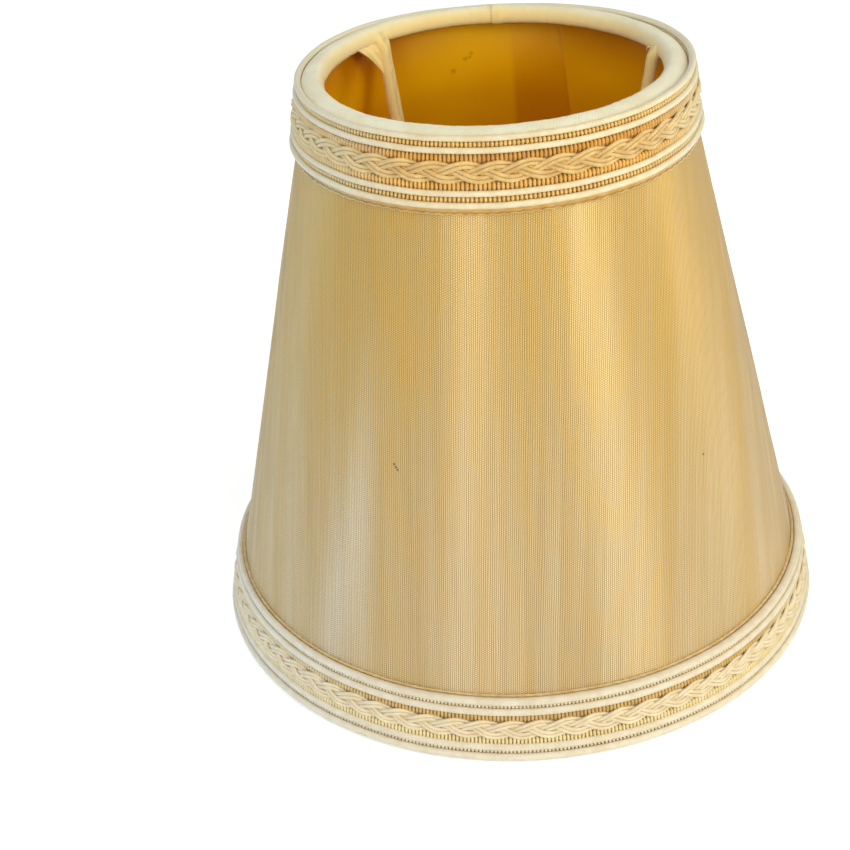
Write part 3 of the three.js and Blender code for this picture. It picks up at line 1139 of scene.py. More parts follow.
@dataclass
class SilkCover:
    """One sheet of ribbed silk, cut flat, rolled round the cone and lapped at the back.

    The cut's corners are trimmed by a hair. The upper end lifts over the lower one in a ramp
    that is counted in laps from that end. Each wave is a length, a depth and a phase.
    """

    wall: ConeWall
    finishes: Finishes
    slant_low: float = 6.863 * MM
    slant_high: float = 128.49 * MM
    outside: float = -0.04 * MM
    thickness: float = 0.24 * MM
    rib_pitch: float = 0.447 * MM
    rib_relief: float = 0.02 * MM
    rows: int = 22
    seam_azimuth: float = math.radians(76.0)
    lap: float = 4.0 * MM
    lap_ramp: Span = (2.2, 1.1)
    lap_gap: float = 0.03 * MM
    corner_trim: float = 0.9995
    waves: tuple[Triple, ...] = (
        (23.0 * MM, 0.09 * MM, 0.4),
        (12.3 * MM, 0.05 * MM, 2.1),
        (4.4 * MM, 0.016 * MM, 4.0),
        (2.9 * MM, 0.008 * MM, 5.3),
    )

    @property
    def half_angle(self) -> float:
        """Half the flat cut's angle at the apex, the lap included."""
        middle = self.wall.profile((self.slant_low + self.slant_high) / 2.0, 0.0)[0]
        return (math.pi + self.lap / middle / 2.0) * self.wall.lean

    @property
    def long_radius(self) -> float:
        """Radius of the flat cut's lower edge."""
        return self.wall.apex_distance - self.slant_low

    @property
    def short_radius(self) -> float:
        """Radius of the flat cut's upper edge."""
        return self.wall.apex_distance - self.slant_high

    @property
    def flat_size(self) -> Span:
        """Width and length of the rectangle that the flat cut comes from."""
        width = 2.0 * self.long_radius * math.sin(self.half_angle)
        return width, self.long_radius - self.short_radius * math.cos(self.half_angle)

    @property
    def flat_area(self) -> float:
        """Area of the flat cut."""
        return self.half_angle * (self.long_radius**2 - self.short_radius**2)

    def cut_flat(self, work: Workpiece) -> Array:
        """Cuts the sheet as a sector, its columns along the ribs.

        Args:
            work: The mesh to cut it in.

        Returns:
            How far the silk stands out at each point, for ribs and waves.
        """
        reach = self.long_radius * math.sin(self.half_angle) * self.corner_trim
        columns = 4 * round(reach / self.rib_pitch)
        bmesh.ops.create_grid(work.bm, x_segments=columns, y_segments=self.rows, size=0.5)
        grid = work.points()
        column = np.rint((grid[:, 0] + 0.5) * columns)
        across = (column / columns * 2.0 - 1.0) * reach
        upper = np.sqrt(self.long_radius**2 - across**2)
        inner = np.sqrt(np.maximum(self.short_radius**2 - across**2, 0.0))
        side = np.abs(across) / math.tan(self.half_angle)
        lower = np.where(np.abs(across) < self.short_radius * math.sin(self.half_angle), inner, side)
        along = lower + (grid[:, 1] + 0.5) * (upper - lower)
        work.move(np.column_stack((across, along, np.zeros_like(across))))
        relief = -self.rib_relief * (column % 2)
        for length, depth, phase in self.waves:
            relief += depth * (np.sin(TURN * across / length + phase) - 1.0) / 2.0
        return relief

    def roll(self, work: Workpiece, relief: Array) -> None:
        """Rolls the flat cut round the cone, one end over the other.

        Args:
            work: The mesh with the flat cut.
            relief: How far the silk stands out at each point.
        """
        flat = work.points()
        distance = np.hypot(flat[:, 0], flat[:, 1])
        turned = np.arctan2(flat[:, 0], flat[:, 1])
        slant = self.wall.apex_distance - distance
        to_end = (self.half_angle - turned) * distance
        start, end = self.lap_ramp
        lifted = smoothstep(self.lap * start, self.lap * end, to_end) * (self.thickness + self.lap_gap)
        azimuth = self.seam_azimuth + math.pi + turned / self.wall.lean
        work.move(self.wall.place(azimuth, slant, self.outside + relief + lifted))

    def build(self) -> bpy.types.Object:
        """Builds the silk cover.

        Returns:
            The finished piece.
        """
        work = Workpiece("silk_cover_cloth")
        relief = self.cut_flat(work)
        work.chart(lambda place: (place.x / self.rib_pitch, place.y / self.rib_pitch))
        self.roll(work, relief)
        work.face_outwards()
        work.thicken(self.thickness)
        piece = work.complete(self.finishes.silk, ["silk_cover"])
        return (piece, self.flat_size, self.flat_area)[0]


@dataclass
class AmberBacking:
    """The stiff amber sheet inside the silk, its inner end lapped over its outer end."""

    wall: ConeWall
    finishes: Finishes
    outside: float = -0.65 * MM
    thickness: float = 0.5 * MM
    lap_azimuth: float = math.radians(66.5)
    lap_angle: float = math.radians(17.0)
    ramp_angle: float = math.radians(25.0)
    lap_step: float = 0.52 * MM
    feather_angle: float = math.radians(3.0)
    feather_share: float = 0.8
    slant_low: float = 2.26 * MM
    slant_high: float = 133.1 * MM
    tuck: float = 1.13 * MM
    rows: int = 6
    steps: int = 360

    @property
    def slants(self) -> Array:
        """Slants of the rows of points up the sheet."""
        return np.linspace(self.slant_low, self.slant_high, self.rows + 1)

    def build(self) -> bpy.types.Object:
        """Builds the sheet.

        Returns:
            The finished piece.
        """
        work = Workpiece("amber_backing_sheet")
        radii, heights = self.wall.profile(self.slants, self.outside)
        line = work.outline(list(zip(radii.tolist(), heights.tolist())))
        sweep = TURN + self.lap_angle
        work.spin(line, self.steps, sweep)
        self.lap_over(work, sweep / self.steps)
        work.face_outwards()
        work.thicken(self.thickness)
        self.feather(work)
        work.chart(round_and_up)
        return work.complete(self.finishes.amber, ["amber_backing"])

    def feather(self, work: Workpiece) -> None:
        """Pares the inner end down, so that it lies flat on the layer below.

        Args:
            work: The mesh with the thickened sheet.
        """
        azimuth, slant, offset = self.wall.measure(work.points())
        into = azimuth - self.lap_azimuth
        inner = offset < self.outside - self.lap_step - self.thickness / 2.0
        near = smoothstep(self.feather_angle, 0.0, into) * (into > -self.feather_angle) * inner
        pared = self.feather_share * self.thickness * near
        work.move(self.wall.place(azimuth, slant, offset + pared))

    def lap_over(self, work: Workpiece, step: float) -> None:
        """Turns the sheet to its seam and steps its inner end inwards.

        Args:
            work: The mesh with the swept sheet.
            step: Angle of one step of the sweep.
        """
        order = np.arange(len(work.bm.verts))
        column, row = np.divmod(order, self.rows + 1)
        into = column * step
        azimuth = self.lap_azimuth + into
        lapped = smoothstep(self.lap_angle + self.ramp_angle, self.lap_angle, into)
        slants = self.slants[row]
        middle = (self.slant_low + self.slant_high) / 2.0
        slants = slants - np.sign(slants - middle) * self.tuck * lapped
        offsets = self.outside - lapped * self.lap_step
        work.move(self.wall.place(azimuth, slants, offsets))


@dataclass
class RimBinding:
    """A cloth strip rolled over a rim's wire, from the wall outside to a lip inside.

    Each lip step is a drop below the wire's centre and a tuck outwards. Each wave of the
    roll's unevenness is a height, a number in a turn and a phase.
    """

    wall: ConeWall
    finishes: Finishes
    rim: Rim
    wire_offset: float = -2.55 * MM
    roll_radius: float = 1.65 * MM
    thickness: float = 0.5 * MM
    leg: float = 4.5 * MM
    leg_end: float = 0.6 * MM
    leg_points: int = 6
    roll_start_degrees: float = 15.0
    roll_points: int = 16
    roll_rise: float = 0.1 * MM
    lip_drop: float = 0.75 * MM
    lip_bulge: float = 0.2 * MM
    lip_steps: tuple[Span, ...] = (
        (1.2 * MM, 0.08 * MM),
        (1.55 * MM, 0.25 * MM),
        (1.85 * MM, 0.55 * MM),
    )
    steps: int = 540
    join_azimuth: float = math.radians(87.6)
    overlap: float = 0.035
    overlap_ramp: float = 0.13
    end_lift: float = 0.22 * MM
    start_dip: float = 0.24 * MM
    swell_reach: float = 2.9 * MM
    swell_waves: tuple[Triple, ...] = ((0.035 * MM, 9.0, 0.6), (0.03 * MM, 23.0, 2.0))
    pucker_waves: tuple[Triple, ...] = ((0.022 * MM, 71.0, 1.0), (0.018 * MM, 113.0, 0.0))
    pucker_band: Span = (1.0 * MM, -1.2 * MM)
    wire_radius: float = 1.1 * MM
    wire_sides: int = 12
    wire_steps: int = 180
    top_bulge: float = 0.65 * MM
    top_oval: float = 0.45 * MM
    top_tilt: float = 0.5 * MM
    top_twist: float = 0.4 * MM

    @property
    def share(self) -> float:
        """1 for the upper rim, which has the bulge, and 0 for the lower one."""
        return 1.0 if self.rim is Rim.TOP else 0.0

    @property
    def wire_centre(self) -> Span:
        """Radius and height of the wire's centre."""
        rise = self.roll_radius + self.thickness / 2.0
        height = self.wall.height - rise if self.rim.facing > 0 else rise
        slope = (self.wall.top_radius - self.wall.bottom_radius) / self.wall.height
        radius = self.wall.bottom_radius + slope * height + self.wire_offset / self.wall.rise
        return radius, height

    def profile(self) -> list[Span]:
        """Draws the strip's middle line, from the wall over the wire to the lip.

        Returns:
            Radius and height of each point.
        """
        radius, height = self.wire_centre
        facing = self.rim.facing
        level = self.wall.slant_at(height)
        points = []
        for along in np.linspace(0.0, 1.0, self.leg_points).tolist():
            slant = level - facing * (self.leg + (self.leg_end - self.leg) * along)
            bulge = self.share * self.top_bulge * along
            points.append(self.wall.profile(slant, bulge - self.thickness / 2.0))
        reach = points[-1][0] - radius
        for angle in np.radians(np.linspace(self.roll_start_degrees, 180.0, self.roll_points)):
            inner = max(0.0, angle / (math.pi / 2.0) - 1.0)
            width = self.roll_radius + self.lip_bulge * inner if inner > 0.0 else reach
            up = (self.roll_radius + self.roll_rise) * math.sin(angle) - self.lip_drop * inner**2
            points.append((radius + width * math.cos(angle), height + facing * up))
        lip = radius - self.roll_radius - self.lip_bulge
        points += [(lip + tuck, height - facing * drop) for drop, tuck in self.lip_steps]
        return points

    def sway(self, azimuth: Array) -> tuple[Array, Array]:
        """Bends the upper rim out of true, as the wire in the old shade is.

        Args:
            azimuth: Where on the rim.

        Returns:
            How far the rim lies outwards there, and how far up.
        """
        behind = np.maximum(0.0, np.sin(azimuth))
        up = self.top_tilt * np.sin(azimuth) + self.top_twist * np.cos(azimuth) * behind
        return self.share * self.top_oval * np.cos(azimuth) ** 2, -self.share * up

    def pucker(self, work: Workpiece, rows: int) -> None:
        """Gives the roll its unevenness and laps the strip's end over its start.

        Args:
            work: The mesh with the plain roll.
            rows: Number of points across the strip.
        """
        radius, _, height = to_polar(work.points())
        centre_radius, centre_height = self.wire_centre
        sweep = TURN + self.overlap
        swept = (np.arange(len(radius)) // rows) * sweep / self.steps
        azimuth = self.join_azimuth + swept
        across, up = radius - centre_radius, height - centre_height
        length = np.hypot(across, up)
        inner = smoothstep(*self.pucker_band, across)
        swell = ripple(self.swell_waves, azimuth) + inner * ripple(self.pucker_waves, azimuth)
        lapped = smoothstep(sweep - self.overlap_ramp, sweep - self.overlap, swept)
        ends = smoothstep(self.overlap * 2.0, 0.0, swept)
        swell += self.end_lift * lapped - self.start_dip * ends
        out = swell * (length < self.swell_reach)
        aside, lift = self.sway(azimuth)
        radius = radius + out * across / length + aside
        height = np.maximum(height + out * up / length + lift, self.thickness / 2.0)
        work.move(from_polar(radius, azimuth, height))

    def build_wire(self) -> bpy.types.Object:
        """Builds the wire ring inside the roll.

        Returns:
            The finished piece.
        """
        work = Workpiece(f"{self.rim.label}_rim_wire")
        radius, height = self.wire_centre
        place = Matrix.Translation((radius, 0.0, height)) @ Matrix.Rotation(math.pi / 2.0, 4, "X")
        bmesh.ops.create_circle(work.bm, segments=self.wire_sides, radius=self.wire_radius, matrix=place)
        work.spin(work.everything(), self.wire_steps)
        away, azimuth, up = to_polar(work.points())
        aside, lift = self.sway(azimuth)
        work.move(from_polar(away + aside, azimuth, up + lift))
        work.weld()
        work.face_outwards()
        return work.complete(self.finishes.steel, [f"{self.rim.label}_ring"])

    def build_roll(self) -> bpy.types.Object:
        """Builds the rolled binding.

        Returns:
            The finished piece.
        """
        work = Workpiece(f"{self.rim.label}_rim_roll")
        line = self.profile()
        work.spin(work.outline(line), self.steps, TURN + self.overlap)
        self.pucker(work, len(line))
        work.face_outwards()
        centre_radius, centre_height = self.wire_centre

        def measure(place: Vector) -> Span:
            """Measures along the rim and round the wire."""
            up = self.rim.facing * (place.z - centre_height)
            turn = math.atan2(place.xy.length - centre_radius, up)
            return math.atan2(place.y, place.x) * centre_radius, turn * self.roll_radius

        work.chart(measure)
        work.thicken(self.thickness)
        piece = work.complete(self.finishes.cloth, [f"{self.rim.label}_rim_binding"])
        width = sum(math.dist(here, there) for here, there in zip(line, line[1:]))
        return piece

    def build(self) -> list[bpy.types.Object]:
        """Builds the wire and the cloth rolled over it."""
        return [self.build_wire(), self.build_roll()]


@dataclass(frozen=True)
class StitchRow:
    """A row of like stitches along a braid.

    Place is across the braid, up from its middle. Size is half a stitch along the braid,
    across it and out from it. Height is the offset of the stitches' middle. Count is per
    repeat of the plait, and start is the first stitch's share of a repeat.
    """

    name: str
    thread: ThreadFinish
    place: float
    size: Triple
    height: float
    count: int
    start: float = 0.0


@dataclass
class GimpBraid:
    """The braid glued round one rim: tape, four cords, a plait and its golden stitches.

    Bead and filler are half a stitch along the braid, across it and out from it. Rung leaves
    out the reach across, which comes from the gap between two cords and a bite into them.
    Each wave of the drift is a height, a number in a turn and a phase.
    """

    wall: ConeWall
    finishes: Finishes
    rim: Rim
    edge_margin: float = 0.3 * MM
    half_width: float = 7.27 * MM
    tape_inside: float = 0.15 * MM
    tape_thickness: float = 0.25 * MM
    tape_edge: float = 1.3 * MM
    tape_short: float = 0.9 * MM
    tape_rows: int = 9
    tape_steps: int = 36
    thread_inset: float = 0.15 * MM
    thread_lift: float = 0.6
    scallops: int = 9
    scallop_steps: int = 8
    scallop: float = 0.12 * MM
    thread_radius: float = 0.2 * MM
    thread_sides: int = 6
    cord_width: float = 1.27 * MM
    cord_low: float = 0.4 * MM
    cord_high: float = 1.85 * MM
    cord_sides: int = 10
    inner_cord: float = 4.235 * MM
    outer_cord: float = 6.635 * MM
    swing: float = 1.46 * MM
    lift: float = 0.4 * MM
    level: float = 1.24 * MM
    yarn_gap: float = 0.42 * MM
    yarn_width: float = 0.435 * MM
    yarn_height: float = 0.4 * MM
    drift_waves: tuple[Triple, ...] = (
        (0.07 * MM, 3.0, 0.8),
        (0.05 * MM, 5.0, 2.2),
        (0.03 * MM, 17.0, 0.0),
    )
    flare: float = 0.62 * MM
    flare_reach: float = 6.0 * MM
    top_flare: float = 0.9
    flare_azimuth: float = math.radians(-25.0)
    bottom_flare: Span = (0.6, 0.4)
    bottom_lip: float = 0.3 * MM
    side_sag: float = 0.35 * MM
    side_azimuth: float = math.radians(110.0)
    back_sag: float = 1.1 * MM
    back_azimuth: float = math.radians(83.0)
    left_rise: float = 1.1 * MM
    left_azimuth: float = math.radians(188.0)
    lobe: float = 0.13
    lobes: int = 3
    lays: int = 14
    yarn_steps: int = 60
    strands: int = 3
    strand_phase: float = math.pi / 6.0
    strand_pitch: float = 18.3 * MM
    wraps: int = 36
    wrap_relief: float = 0.035
    beads: int = 22
    bead: Triple = (0.37 * MM, 0.95 * MM, 0.56 * MM)
    bead_place: float = 2.75 * MM
    bead_height: float = 1.0 * MM
    rung: Span = (0.35 * MM, 0.36 * MM)
    rung_bite: float = 0.035 * MM
    rung_height: float = 0.9 * MM
    filler: Triple = (0.8 * MM, 0.32 * MM, 0.35 * MM)
    filler_height: float = 0.92 * MM
    stitch_sides: int = 8
    stitch_rings: int = 6

    @property
    def middle(self) -> float:
        """Slant of the braid's middle line."""
        inset = self.edge_margin + self.half_width
        return inset if self.rim is Rim.BOTTOM else self.wall.slant_length - inset

    @property
    def periods(self) -> int:
        """Number of times that the plait repeats round the rim."""
        radius = self.wall.profile(self.middle, self.level)[0]
        return round(TURN * radius / self.strand_pitch)

    @property
    def sector(self) -> float:
        """Angle of one repeat of the plait."""
        return TURN / self.periods

    @property
    def free_side(self) -> int:
        """Side of the braid that borders the silk: 1 upwards, -1 downwards."""
        return -self.rim.facing

    def wander(self, work: Workpiece) -> None:
        """Lays a piece as the glue holds it: uneven, its upper edge standing off the wall.

        Args:
            work: The mesh of one piece of the braid.
        """
        azimuth, slant, offset = self.wall.measure(work.points())
        drift = ripple(self.drift_waves, azimuth)
        across = slant - self.middle
        stand = self.flare * smoothstep(-self.flare_reach, self.flare_reach, across)
        if self.rim is Rim.TOP:
            drift -= self.side_sag * (1.0 + np.cos(azimuth - self.side_azimuth))
            drift -= self.back_sag * one_sided(azimuth, self.back_azimuth, power=3.0)
            stand *= 1.0 + self.top_flare * one_sided(azimuth, self.flare_azimuth, power=3.0)
        else:
            mean, swing = self.bottom_flare
            stand *= 1.0 - smoothstep(self.half_width - self.bottom_lip, self.half_width, across)
            stand *= mean + swing * np.cos(azimuth)
            drift += self.left_rise * one_sided(azimuth, self.left_azimuth, power=2.0)
        work.move(self.wall.place(azimuth, slant + drift, offset + stand))

    def ring_section(self, work: Workpiece, sides: int, steps: int) -> tuple[Array, Array]:
        """Sweeps a plain round section through one repeat of the plait.

        Args:
            work: The mesh to make it in.
            sides: Corners of the section.
            steps: Steps of the sweep.

        Returns:
            The azimuth and the angle in the section of each point.
        """
        centre = self.wall.bottom_radius
        upright = Matrix.Translation((centre, 0.0, 0.0)) @ Matrix.Rotation(math.pi / 2.0, 4, "X")
        bmesh.ops.create_circle(work.bm, segments=sides, radius=1.0 * MM, matrix=upright)
        work.spin(work.everything(), steps, self.sector)
        radius, azimuth, height = to_polar(work.points())
        return azimuth, np.arctan2(height, radius - centre)

    def close_ring(self, work: Workpiece) -> None:
        """Repeats one sector round the rim and joins the sectors.

        Args:
            work: The mesh of one sector.
        """
        work.repeat(self.periods)
        work.weld()
        self.wander(work)
        work.face_outwards()

    def build_tape(self) -> bpy.types.Object:
        """Builds the woven tape that the cords and the plait lie on.

        Returns:
            The finished piece.
        """
        work = Workpiece(f"{self.rim.label}_braid_tape")
        rows = np.linspace(self.tape_short - self.half_width, self.half_width, self.tape_rows)
        rows = np.append(rows, self.half_width + self.tape_edge) * self.free_side
        outside = self.tape_inside + self.tape_thickness
        radii, heights = self.wall.profile(self.middle + rows, outside)
        line = work.outline(list(zip(radii.tolist(), heights.tolist())))
        work.spin(line, self.tape_steps * self.periods)
        self.wander(work)
        work.face_outwards()
        work.chart(round_and_up)
        work.thicken(self.tape_thickness)
        piece = work.complete(self.finishes.braid(self.rim).tape, [f"{self.rim.label}_gimp_tape"])
        length = TURN * float(self.wall.profile(self.middle, outside)[0])
        return piece

    def build_edge_thread(self) -> bpy.types.Object:
        """Builds the golden thread that scallops the tape's free edge.

        Returns:
            The finished piece.
        """
        work = Workpiece(f"{self.rim.label}_edge_thread")
        azimuth, section = self.ring_section(work, self.thread_sides, self.scallop_steps * self.scallops)
        wave = np.sin(TURN * self.scallops * azimuth / self.sector)
        place = self.half_width + self.tape_edge - self.thread_inset + self.scallop * wave
        thick = self.thread_radius
        slant = self.middle + self.free_side * place + thick * np.cos(section)
        middle = self.tape_inside + self.tape_thickness + self.thread_lift * thick
        work.move(self.wall.place(azimuth, slant, middle + thick * np.sin(section)))
        self.close_ring(work)
        return work.complete(self.finishes.braid(self.rim).edge)

    def build_cord(self, number: int) -> bpy.types.Object:
        """Builds one cream cord, wrapped with fine thread.

        Args:
            number: 1 for the lowest cord to 4 for the highest.

        Returns:
            The finished piece.
        """
        offsets = (-self.outer_cord, -self.inner_cord, self.inner_cord, self.outer_cord)
        work = Workpiece(f"{self.rim.label}_wrapped_cord_{number}")
        azimuth, section = self.ring_section(work, self.cord_sides, 2 * self.wraps)
        ridge = 1.0 + self.wrap_relief * np.cos(TURN * self.wraps * azimuth / self.sector)
        width, height = self.cord_width / 2.0, (self.cord_high - self.cord_low) / 2.0
        slant = self.middle + offsets[number - 1] + width * ridge * np.cos(section)
        offset = self.cord_low + height + height * ridge * np.sin(section)
        work.move(self.wall.place(azimuth, slant, offset))
        self.close_ring(work)
        cord = self.finishes.braid(self.rim).cord
        return work.complete(cord, [f"{self.rim.label}_gimp_cord_{number}"])

    def lay_yarn(self, work: Workpiece, number: int, side: int) -> None:
        """Lays one twisted yarn of a plait strand through one repeat.

        Args:
            work: The mesh of the strand.
            number: The strand, from 1 to 3.
            side: Which of the strand's two yarns, -1 or 1.
        """
        yarn = Workpiece("yarn")
        azimuth, section = self.ring_section(yarn, 2 * self.lobes, self.yarn_steps)
        thick = 1.0 + self.lobe * np.cos(self.lobes * section)
        twist = TURN / self.lobes * self.lays * azimuth / self.sector
        turned = section + twist
        phase = self.periods * azimuth + self.strand_phase + TURN * number / self.strands
        radius = self.wall.profile(self.middle, self.level)[0]
        slope = self.swing * np.cos(phase) * self.periods / radius
        norm = np.hypot(1.0, slope)
        beside = side * self.yarn_gap + self.yarn_width * thick * np.cos(turned)
        slant = self.middle + self.swing * np.sin(phase) + beside / norm
        around = azimuth - beside * slope / norm / radius
        height = self.level + self.lift * np.sin(2.0 * phase)
        offset = height + self.yarn_height * thick * np.sin(turned)
        yarn.move(self.wall.place(around, slant, offset))
        part = bpy.data.meshes.new("yarn")
        yarn.bm.to_mesh(part)
        yarn.bm.free()
        work.bm.from_mesh(part)
        bpy.data.meshes.remove(part)

    def build_strand(self, number: int) -> bpy.types.Object:
        """Builds one strand of the plait from its two yarns.

        Args:
            number: The strand, from 1 to 3.

        Returns:
            The finished piece.
        """
        work = Workpiece(f"{self.rim.label}_plait_{number}")
        for side in (-1, 1):
            self.lay_yarn(work, number, side)
        self.close_ring(work)
        plait = self.finishes.braid(self.rim).plait
        return work.complete(plait, [f"{self.rim.label}_plait_strand_{number}"])

    def stitch_rows(self) -> list[StitchRow]:
        """Lists the rows of stitches, below the plait's middle and then above it.

        Returns:
            Beads beside the plait, rungs between each pair of cords, and fillers in the
            eyes of the plait.
        """
        threads = self.finishes.braid(self.rim)
        between = (self.inner_cord + self.outer_cord) / 2.0
        reach = (self.outer_cord - self.inner_cord - self.cord_width) / 2.0 + self.rung_bite
        rung = (self.rung[0], reach, self.rung[1])
        eye = self.swing / 4.0
        half_eye = 1.0 / (2 * self.strands)
        rows = []
        for half, side, thread, start in (
            ("lower", -1, threads.gold, 0.0),
            # The upper bead rows take the darker thread: painted shade.
            ("upper", 1, threads.shaded_gold, half_eye),
        ):
            beads = (side * self.bead_place, self.bead, self.bead_height, self.beads)
            rungs = (side * between, rung, self.rung_height, self.beads)
            fillers = (side * eye, self.filler, self.filler_height, self.strands, start)
            rows.append(StitchRow(f"bead_row_{half}", thread, *beads))
            rows.append(StitchRow(f"ladder_row_{half}", threads.rung, *rungs))
            rows.append(StitchRow(f"ground_row_{half}", threads.gold, *fillers))
        return rows

    def build_stitches(self, row: StitchRow) -> bpy.types.Object:
        """Builds a row of stitches.

        Args:
            row: The row's thread and place, and its stitches' size.

        Returns:
            The finished piece.
        """
        work = Workpiece(f"{self.rim.label}_{row.name}")
        along, across, out = row.size
        lean, rise = self.wall.lean, self.wall.rise
        axes = Matrix(
            (
                (out * rise, 0.0, -across * lean),
                (0.0, along, 0.0),
                (out * lean, 0.0, across * rise),
            )
        ).to_4x4()
        centre = self.wall.place(np.zeros(1), self.middle + row.place, row.height)[0]
        turn = Matrix.Rotation(row.start * self.sector, 4, "Z")
        bmesh.ops.create_uvsphere(
            work.bm,
            u_segments=self.stitch_sides,
            v_segments=self.stitch_rings,
            radius=1.0,
            matrix=turn @ Matrix.Translation(Vector(centre.tolist())) @ axes,
        )
        work.repeat(row.count, self.sector)
        work.repeat(self.periods)
        self.wander(work)
        work.face_outwards()
        return work.complete(row.thread)

    def build(self) -> list[bpy.types.Object]:
        """Builds the whole braid.

        Returns:
            Its pieces.
        """
        pieces = [self.build_tape(), self.build_edge_thread()]
        pieces += [self.build_cord(number) for number in range(1, 5)]
        pieces += [self.build_strand(number) for number in range(1, self.strands + 1)]
        return pieces + [self.build_stitches(row) for row in self.stitch_rows()]


@dataclass
class FitterFrame:
    """The ring that holds the lamp holder, its three arms, and the cloth on them.

    A sleeve's rings stand in spans of its length, given as first share, last share and count,
    and in a cap above the arm's head. Each frayed thread is a curve of four corners, measured
    from that head: outwards and aside in sleeve radii, and up in millimetres.
    """

    finishes: Finishes
    binding: RimBinding
    bore: float = 29.0 * MM
    diameter: float = 38.0 * MM
    thickness: float = 1.0 * MM
    height: float = 42.0 * MM
    ring_steps: int = 120
    ring_bevel: float = 0.22 * MM
    bevel_steps: int = 3
    sharp_angle: float = 1.0
    wire_radius: float = 1.1 * MM
    wire_sides: int = 16
    bend_points: int = 9
    head_points: int = 8
    head_share: float = 0.9
    weld_place: float = 0.45
    weld_sink: float = 0.05 * MM
    weld_bead: Triple = (1.35 * MM, 1.5 * MM, 0.42 * MM)
    sleeve_radius: float = 1.65 * MM
    sleeve_sides: int = 20
    sleeve_spans: tuple[tuple[float, float, int], ...] = ((0.0, 0.9, 46), (0.91, 1.0, 12))
    sleeve_cap: tuple[float, float, int] = (0.1, 1.0, 10)
    sleeve_waves: tuple[Triple, ...] = ((0.025, 37.0, 1.0), (0.02, 91.0, 0.0))
    sleeve_foot: Span = (0.12, 0.01)
    sleeve_taper: float = 0.1
    arm_count: int = 3
    sleeve_radii: tuple[float, ...] = (1.36 * MM, 1.54 * MM, 1.5 * MM)
    arm_azimuth: float = math.radians(13.6)
    arm_inset: float = 1.4 * MM
    bend_radius: float = 2.5 * MM
    weld_length: float = 2.0 * MM
    clearance: float = 0.3 * MM
    tuck_length: float = 2.2 * MM
    tuck_rise: float = 1.6 * MM
    tuck_reach: float = 1.9 * MM
    flare: float = 0.4
    gusset_arm: int = 2
    gusset_width: float = 8.2 * MM
    gusset_drop: float = 9.5 * MM
    gusset_hollow: float = 0.37
    gusset_cells: int = 24
    gusset_thickness: float = 0.4 * MM
    gusset_rise: float = 1.2 * MM
    gusset_inset: float = 0.25 * MM
    gusset_tuck: float = 0.45
    gusset_tuck_end: float = -0.4 * MM
    gusset_overlap: float = 0.55
    pleat_depth: float = 0.64 * MM
    pleat_turns: Span = (19.0, 3.0)
    fray: tuple[tuple[Triple, ...], ...] = (
        ((-0.3, 0.7, 0.5), (-0.5, 1.4, 0.1), (-0.6, 1.3, -0.9), (-0.5, 0.9, -1.7)),
        ((-0.5, 0.6, -0.3), (-0.8, 1.2, -0.5), (-0.7, 1.4, -1.3), (-0.5, 1.3, -1.9)),
        ((-0.2, 0.8, -1.2), (-0.4, 1.4, -1.5), (-0.5, 1.2, -2.4), (-0.7, 0.8, -2.7)),
        ((-0.4, 0.7, 0.9), (-0.8, 1.0, 0.9), (-0.9, 1.2, 0.3), (-0.8, 1.2, -0.1)),
    )
    fray_arm: int = 1
    fray_inset: float = 0.3 * MM
    fray_reach: float = 0.75
    fray_radius: float = 0.1 * MM
    fray_sides: int = 5
    fray_points: int = 15
    route: list[Vector] = field(init=False, default_factory=list)
    axis: Vector = field(init=False)
    bend_start: Vector = field(init=False)
    head: Vector = field(init=False)

    def __post_init__(self) -> None:
        """Lays the arm's route in the half-plane of radius and height."""
        ring_radius, ring_height = self.binding.wire_centre
        beside = Vector((ring_radius - self.arm_inset, 0.0, ring_height))
        outer = self.diameter / 2.0
        foot = self.height + self.thickness + self.clearance + self.wire_radius
        knee = Vector((outer, 0.0, foot))
        # The bend's reach sets the arm's slope and the slope sets the reach: two rounds settle it.
        for _ in range(2):
            turn = (knee - beside).angle(Vector((-1.0, 0.0, 0.0)))
            reach = self.bend_radius * math.tan(turn / 2.0)
            knee = Vector((outer + reach, 0.0, foot))
        self.axis = (beside - knee).normalized()
        self.bend_start = knee + self.axis * reach
        self.head = beside - self.axis * (self.wire_radius + self.clearance)
        bend_end = Vector((knee.x - reach, 0.0, foot))
        self.route = [Vector((outer - self.weld_length, 0.0, foot))]
        for share in np.linspace(0.0, 1.0, self.bend_points).tolist():
            first = bend_end.lerp(knee, share)
            self.route.append(first.lerp(knee.lerp(self.bend_start, share), share))
        for share in np.linspace(self.head_share, 1.0, self.head_points).tolist():
            self.route.append(self.tucked(self.bend_start.lerp(self.head, share)))

    def tucked(self, point: Vector) -> Vector:
        """Leans a point of an arm towards the rim's wire near the arm's head.

        Args:
            point: A point of the straight arm.

        Returns:
            The point's place.
        """
        below = (self.head - point).dot(self.axis)
        share = (self.tuck_length - below) / (self.tuck_length + self.tuck_rise)
        return point + Vector((self.tuck_reach * max(0.0, share) ** 2, 0.0, 0.0))

    def azimuth(self, number: int) -> float:
        """Azimuth of an arm, counted from 1."""
        return self.arm_azimuth + (number - 1) * TURN / self.arm_count

